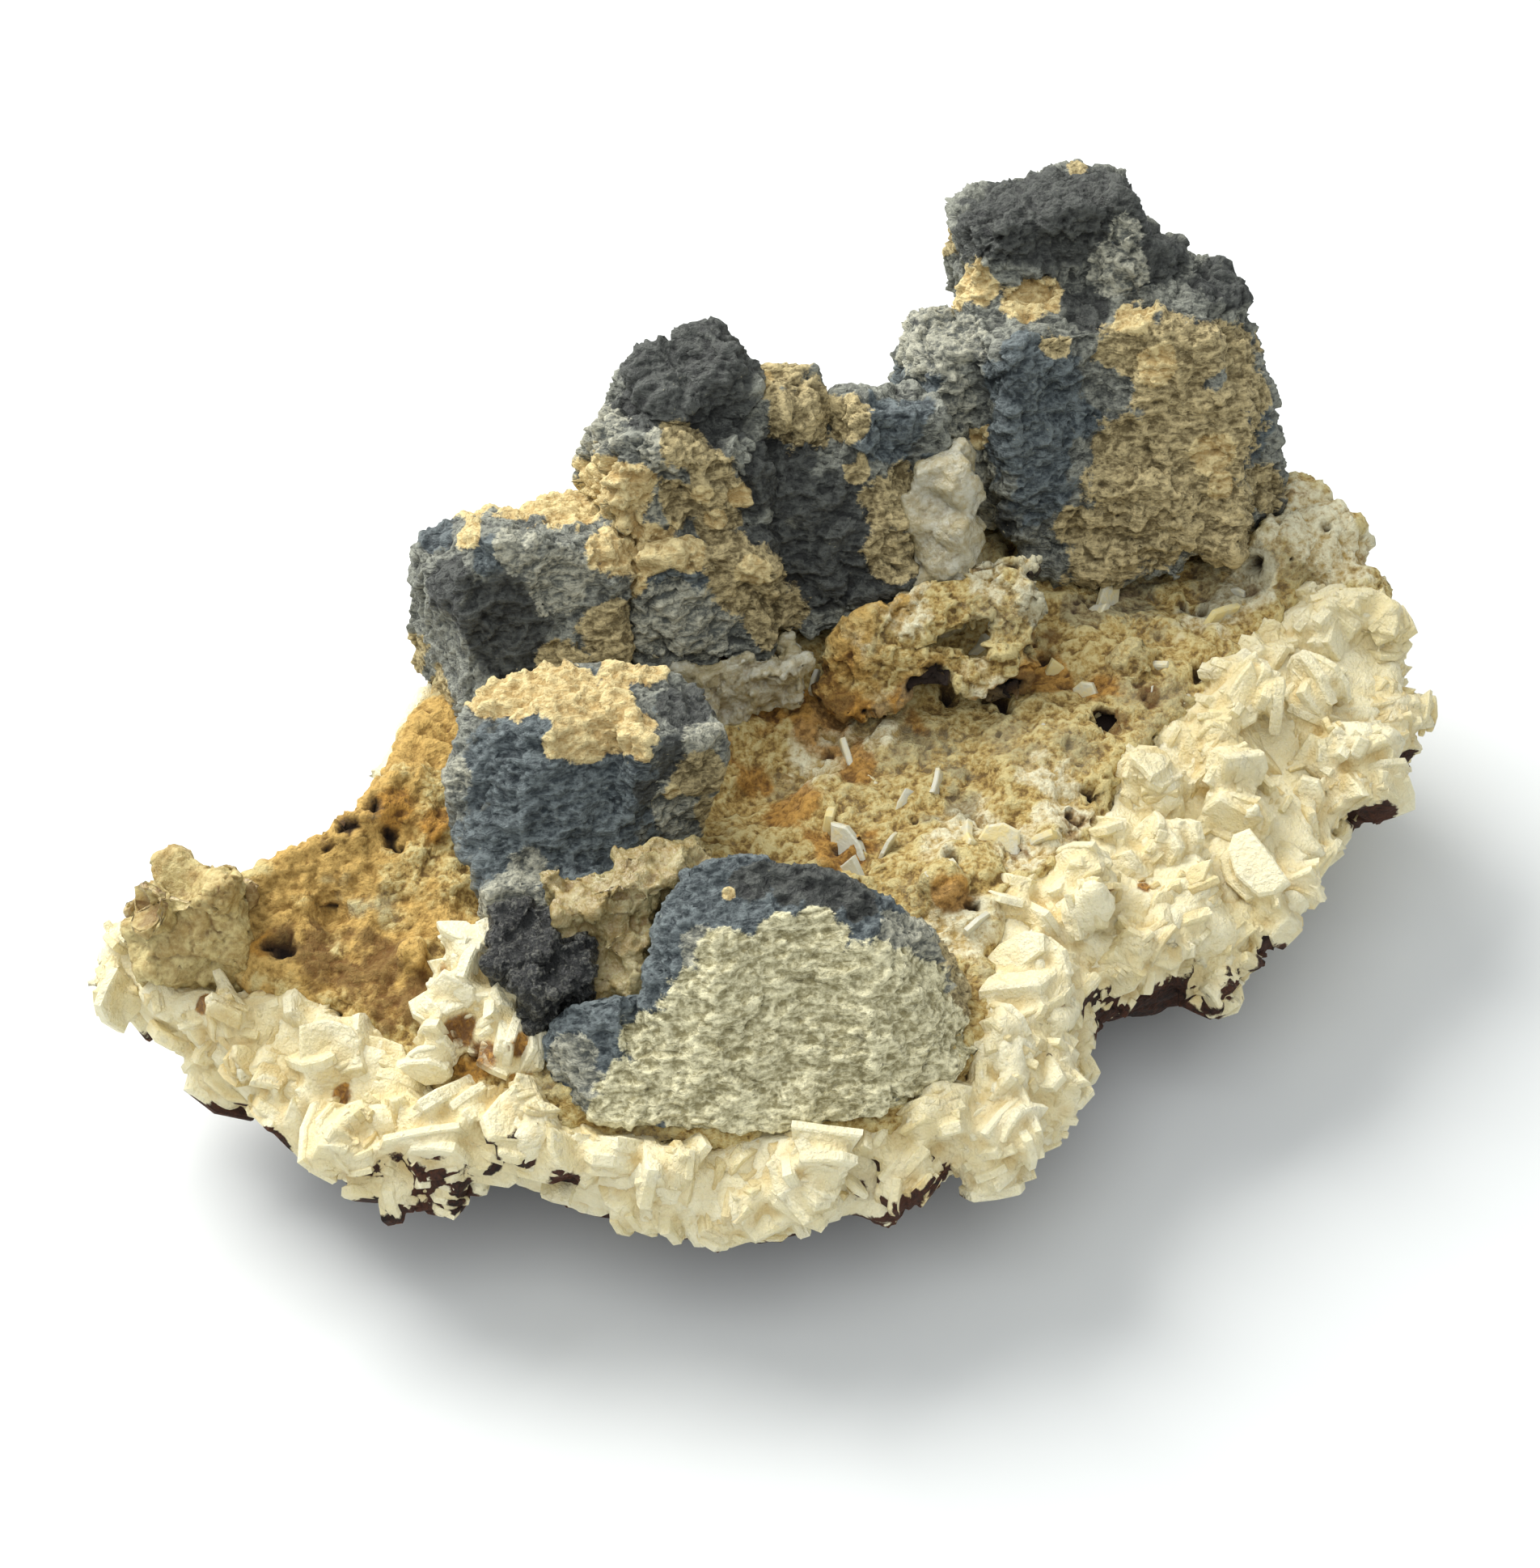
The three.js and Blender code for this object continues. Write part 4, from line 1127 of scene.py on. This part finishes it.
def dress_blades(name, shells, seed):
    """Single blades with sharp edges. A point's relief is its distance from the solid, in mm,
    so painted shade makes them warmer at the root and painted light white at the tip. The brown
    skin goes by the way that the solid faces under each point, so it runs on from blade to blade."""
    mesh = flat_faced(shells)
    points = read_points(mesh)[0]
    bed = trees["white_bladed_bed"]
    nearest = [bed.find_nearest(Vector(point)) for point in points * MM]
    away = np.array([found[3] for found in nearest]) / MM
    bed_normals = np.array([found[1] for found in nearest])
    # Distance from the solid as relief: painted shade at the roots, painted light at the tips.
    write_mask(mesh, "relief", soft_step(away, -0.8, 2.6))
    write_mask(mesh, "skin", 0.95 * coated(points, bed_normals, seed))
    write_mask(mesh, "rust", rusty(points))
    return present(name, mesh, white)


def half_of(shell, right):
    """The blades whose middle lies right, or left, of the line between the two fills."""
    points, faces = shell
    middle = points[faces].mean(axis=1)[:, 0].reshape(-1, FACES_OF_A_BLADE).mean(axis=1)
    return points, faces[np.repeat((middle > PART_X_MM) == right, FACES_OF_A_BLADE)]


large = grow("white_bladed_bed", 230, 31, on_rim, 2.6, 6.0, 4, (0.62, 0.16), 0.26, 0.5)
small = grow("white_bladed_bed", 420, 32, on_rim, 1.8, 4.4, 3, (0.62, 0.19), 0.26, 0.5)
dress_fill("rim_fill_left", [half_of(large, False), half_of(small, False)], 34)
dress_fill("rim_fill_right", [half_of(large, True), half_of(small, True)], 35)
dress_blades("rim_blades", [large, small], 36)
spray = grow("white_spray", 44, 33, anywhere, 1.6, 4.6, 2, (0.6, 0.2), 0.24, 0.5)
dress_fill("spray_fill", [shell_of("white_spray"), spray], 37, ["white_spray"])
dress_blades("spray_blades", [spray], 38)

# %% [markdown]
# Splinters of the same blades lie in the crust, bluish where they are thin. They are single
# thin blades, sunk a third of their length and mostly lying flat, on the side of the crust
# that faces the white rim. The blades' own function grows them, so no new shape is needed.

# %% Splinters in the crust
SPLINTER = paint(204, 202, 182)
SPLINTER_SIDE_MM = 2.0  # they lie to the right of this line


def open_crust(spots, normals):
    """The crust's top, right of the splinter line, where no crystal stands on it."""
    top = (normals[:, 2] > 0.5) & (spots[:, 0] > SPLINTER_SIDE_MM)
    top[top] = ~hidden_by(spots[top], [node for node in trees if node != "tan_crust"], 0.4)
    return top


def splinter_finish():
    """Bluish white, cream where a wide noise is high, and milky like the blades."""
    finish = Finish("crust_splinters", roughness=0.45, subsurface_weight=0.3)
    finish.milky(1.5)
    cloud = finish.noise(7.0, 3)
    fine = finish.noise(0.5, 3)
    finish.feed("Base Color", finish.blend((cloud + fine * 0.4).step(0.6, 0.85), SPLINTER, CREAM))
    finish.bump(fine, 0.12)
    return finish.material


shards = grow("tan_crust", 80, 41, open_crust, 3.2, 4.8, 1, (0.7, 0.14), 0.3, 1.2)
present("crust_splinters", flat_faced([shards]), splinter_finish())

# %% [markdown]
# The small clear crystals are cloudy: calcite stained like honey, and grey quartz. So their
# finishes let a part of the light through and scatter the rest, and paint shade on what lies
# low. Clear glass would be simpler, but it would look wet and show the crust behind it.

# %% Finishes for the clear, the honey and the black crystals
def clear_finish(name, light, stain, hollow_shade_colour, see_through, gloss):
    """A cloudy crystal: the share see_through of it lets light through, the rest scatters it.
    The colour goes from light to stain with the clouds, and to its last colour in the hollows,
    which is painted shade."""
    finish = Finish(name, transmission_weight=see_through)
    finish.shader.inputs["IOR"].default_value = 1.55
    finish.shader.inputs["Subsurface Weight"].default_value = 0.12
    finish.milky(1.0)
    fine = finish.noise(0.5, 4)
    cloud = finish.noise(2.6, 3)
    colour = finish.blend((cloud + fine * 0.6).step(0.55, 1.0), light, stain)
    # Painted shade in the hollows.
    low = (finish.mask("low") + fine * 0.6 - 0.2).step(0.2, 1.0)
    colour = finish.blend(low * 0.7, colour, hollow_shade_colour)
    finish.feed("Base Color", colour)
    finish.feed("Roughness", (fine * 0.5 + 1.0 - gloss).step(0.0, 1.4))
    finish.bump(fine, 0.3)
    return finish.material


# The third of the honey colours is painted shade for the hollows.
HONEY, HONEY_STAIN, HONEY_SHADE = paint(208, 196, 146), paint(176, 152, 94), paint(148, 116, 62)
RIND, RIND_STAIN = paint(222, 206, 144), paint(170, 142, 80)
QUARTZ, QUARTZ_STAIN = paint(236, 234, 212), paint(204, 190, 144)
BLACK_GLINT = paint(122, 122, 112)
# The fourth argument of each is painted shade for its hollows.
honey = clear_finish("honey_calcite", HONEY, HONEY_STAIN, HONEY_SHADE, 0.3, 0.8)
rind = clear_finish("knob_rind", RIND, RIND_STAIN, IRON_DARK, 0.12, 0.4)
quartz = clear_finish("clear_quartz", QUARTZ, QUARTZ_STAIN, TAN_DARK, 0.4, 1.0)


def black_finish():
    """Near black, with grey glints where a fine noise is high and the surface isn't low."""
    finish = Finish("black_crystal", roughness=0.4)
    fine = finish.noise(0.3, 4)
    nap_and_relief_shade = (finish.mask("low") * -0.4 + fine).step(0.4, 0.75)
    finish.feed("Base Color", finish.blend(nap_and_relief_shade, NEAR_BLACK, BLACK_GLINT))
    finish.feed("Roughness", (fine * 0.9 - 0.1).step(0.0, 1.0))
    finish.bump(fine, 0.4)
    return finish.material


black = black_finish()
print("see-through materials:", honey.name, rind.name, quartz.name)

# %% [markdown]
# Each of these solids gets short thick crystals from the blades' own function, fused to it,
# because single ones would show clefts where the real crystals have grown together. The knob
# swells most, since it is a lump with a rind, and the quartz keeps its faces, so it is broken
# the least.

# %% The small crystals
CRYSTAL_VOXEL = 0.26


def dress_crystals(node, name, material, seed, count, length, passes=2, swell=0.0, grain=1.0):
    """The solid with short thick crystals all over it, fused. Height = swell x waves 6 mm wide
    + grain x (waves 1.8 mm wide + steps 2.2 mm wide + chips 0.9 mm wide), in mm."""
    grown = grow(node, count, seed, anywhere, length * 0.4, length, 1, (0.8, 0.62), 0.22)
    mesh = fused([shell_of(node), grown], CRYSTAL_VOXEL, passes)
    points, normals = read_points(mesh)
    steps, mounds = breaks(points, 2.2, seed)
    chips, _ = breaks(points, 0.9, seed + 9)
    lumps = swell * (rough(points, 6.0, 2, seed + 3, 0.4) - 0.4)
    broken = 0.3 * rough(points, 1.8, 3, seed) + 0.3 * steps + 0.2 * mounds + 0.2 * chips
    height = lumps + grain * broken
    write_points(mesh, points + normals * height[:, None])
    # The low mask carries painted shade for the hollows.
    write_mask(mesh, "low", soft_step(-relief(mesh, 20), -0.2, 0.5))
    return present(name, mesh, material, [node])


dress_crystals("honey_calcite", "skin_honey_calcite", honey, 51, 50, 3.6, 14, 0.5)
dress_crystals("left_knob", "skin_left_knob", rind, 52, 50, 3.4, 160, 3.0)
dress_crystals("quartz_crystals", "skin_quartz", quartz, 53, 16, 5.2, 10, 0.0, 0.45)
dress_crystals("clear_grains", "skin_clear_grains", quartz, 54, 40, 2.4)
dress_crystals("black_crystal_lump", "skin_black_lump", black, 55, 150, 1.7, 1)

# %% [markdown]
# The photo was taken on white paper in soft daylight from the upper left, with a second soft
# light over the camera. So the floor is a pale sheet, one large lamp stands at the upper left
# behind the specimen, and the sky is an even grey-white.

# %% Floor and light
PAPER = (0.74, 0.76, 0.75, 1.0)
SKY = (0.93, 0.96, 1.0, 1.0)
SKY_STRENGTH = 0.46


def paper_floor(size):
    """A flat sheet of size metres at the height that the specimen rests on."""
    half = size / 2
    corners = [(-half, -half, 0), (half, -half, 0), (half, half, 0), (-half, half, 0)]
    mesh = bpy.data.meshes.new("paper")
    mesh.from_pydata(corners, [], [(0, 1, 2, 3)])
    finish = Finish("paper", roughness=0.9)
    finish.shader.inputs["Base Color"].default_value = PAPER
    mesh.materials.append(finish.material)
    add_object("paper", mesh)


def soft_lamp(name, place, size, power, colour):
    """A square lamp of size metres, turned to face the specimen."""
    data = bpy.data.lights.new(name, "AREA")
    data.size = size
    data.energy = power
    data.color = colour
    lamp = add_object(name, data)
    lamp.location = place
    lamp.rotation_euler = (AIM - lamp.location).to_track_quat("-Z", "Y").to_euler()


paper_floor(6.0)  # wide enough that its edge is out of view from every side
soft_lamp("window", (-0.34, 0.30, 0.50), 0.45, 6.4, (1.0, 0.985, 0.96))
soft_lamp("ceiling", (-0.05, -0.35, 0.62), 0.6, 2.2, (0.97, 0.985, 1.0))
sky = bpy.data.worlds.new("daylight")
sky.use_nodes = True
background = sky.node_tree.nodes["Background"]
background.inputs["Color"].default_value = SKY
background.inputs["Strength"].default_value = SKY_STRENGTH
bpy.context.scene.world = sky
bpy.context.scene.view_settings.view_transform = "Standard"
print("lights:", sorted(light.name for light in bpy.data.lights))
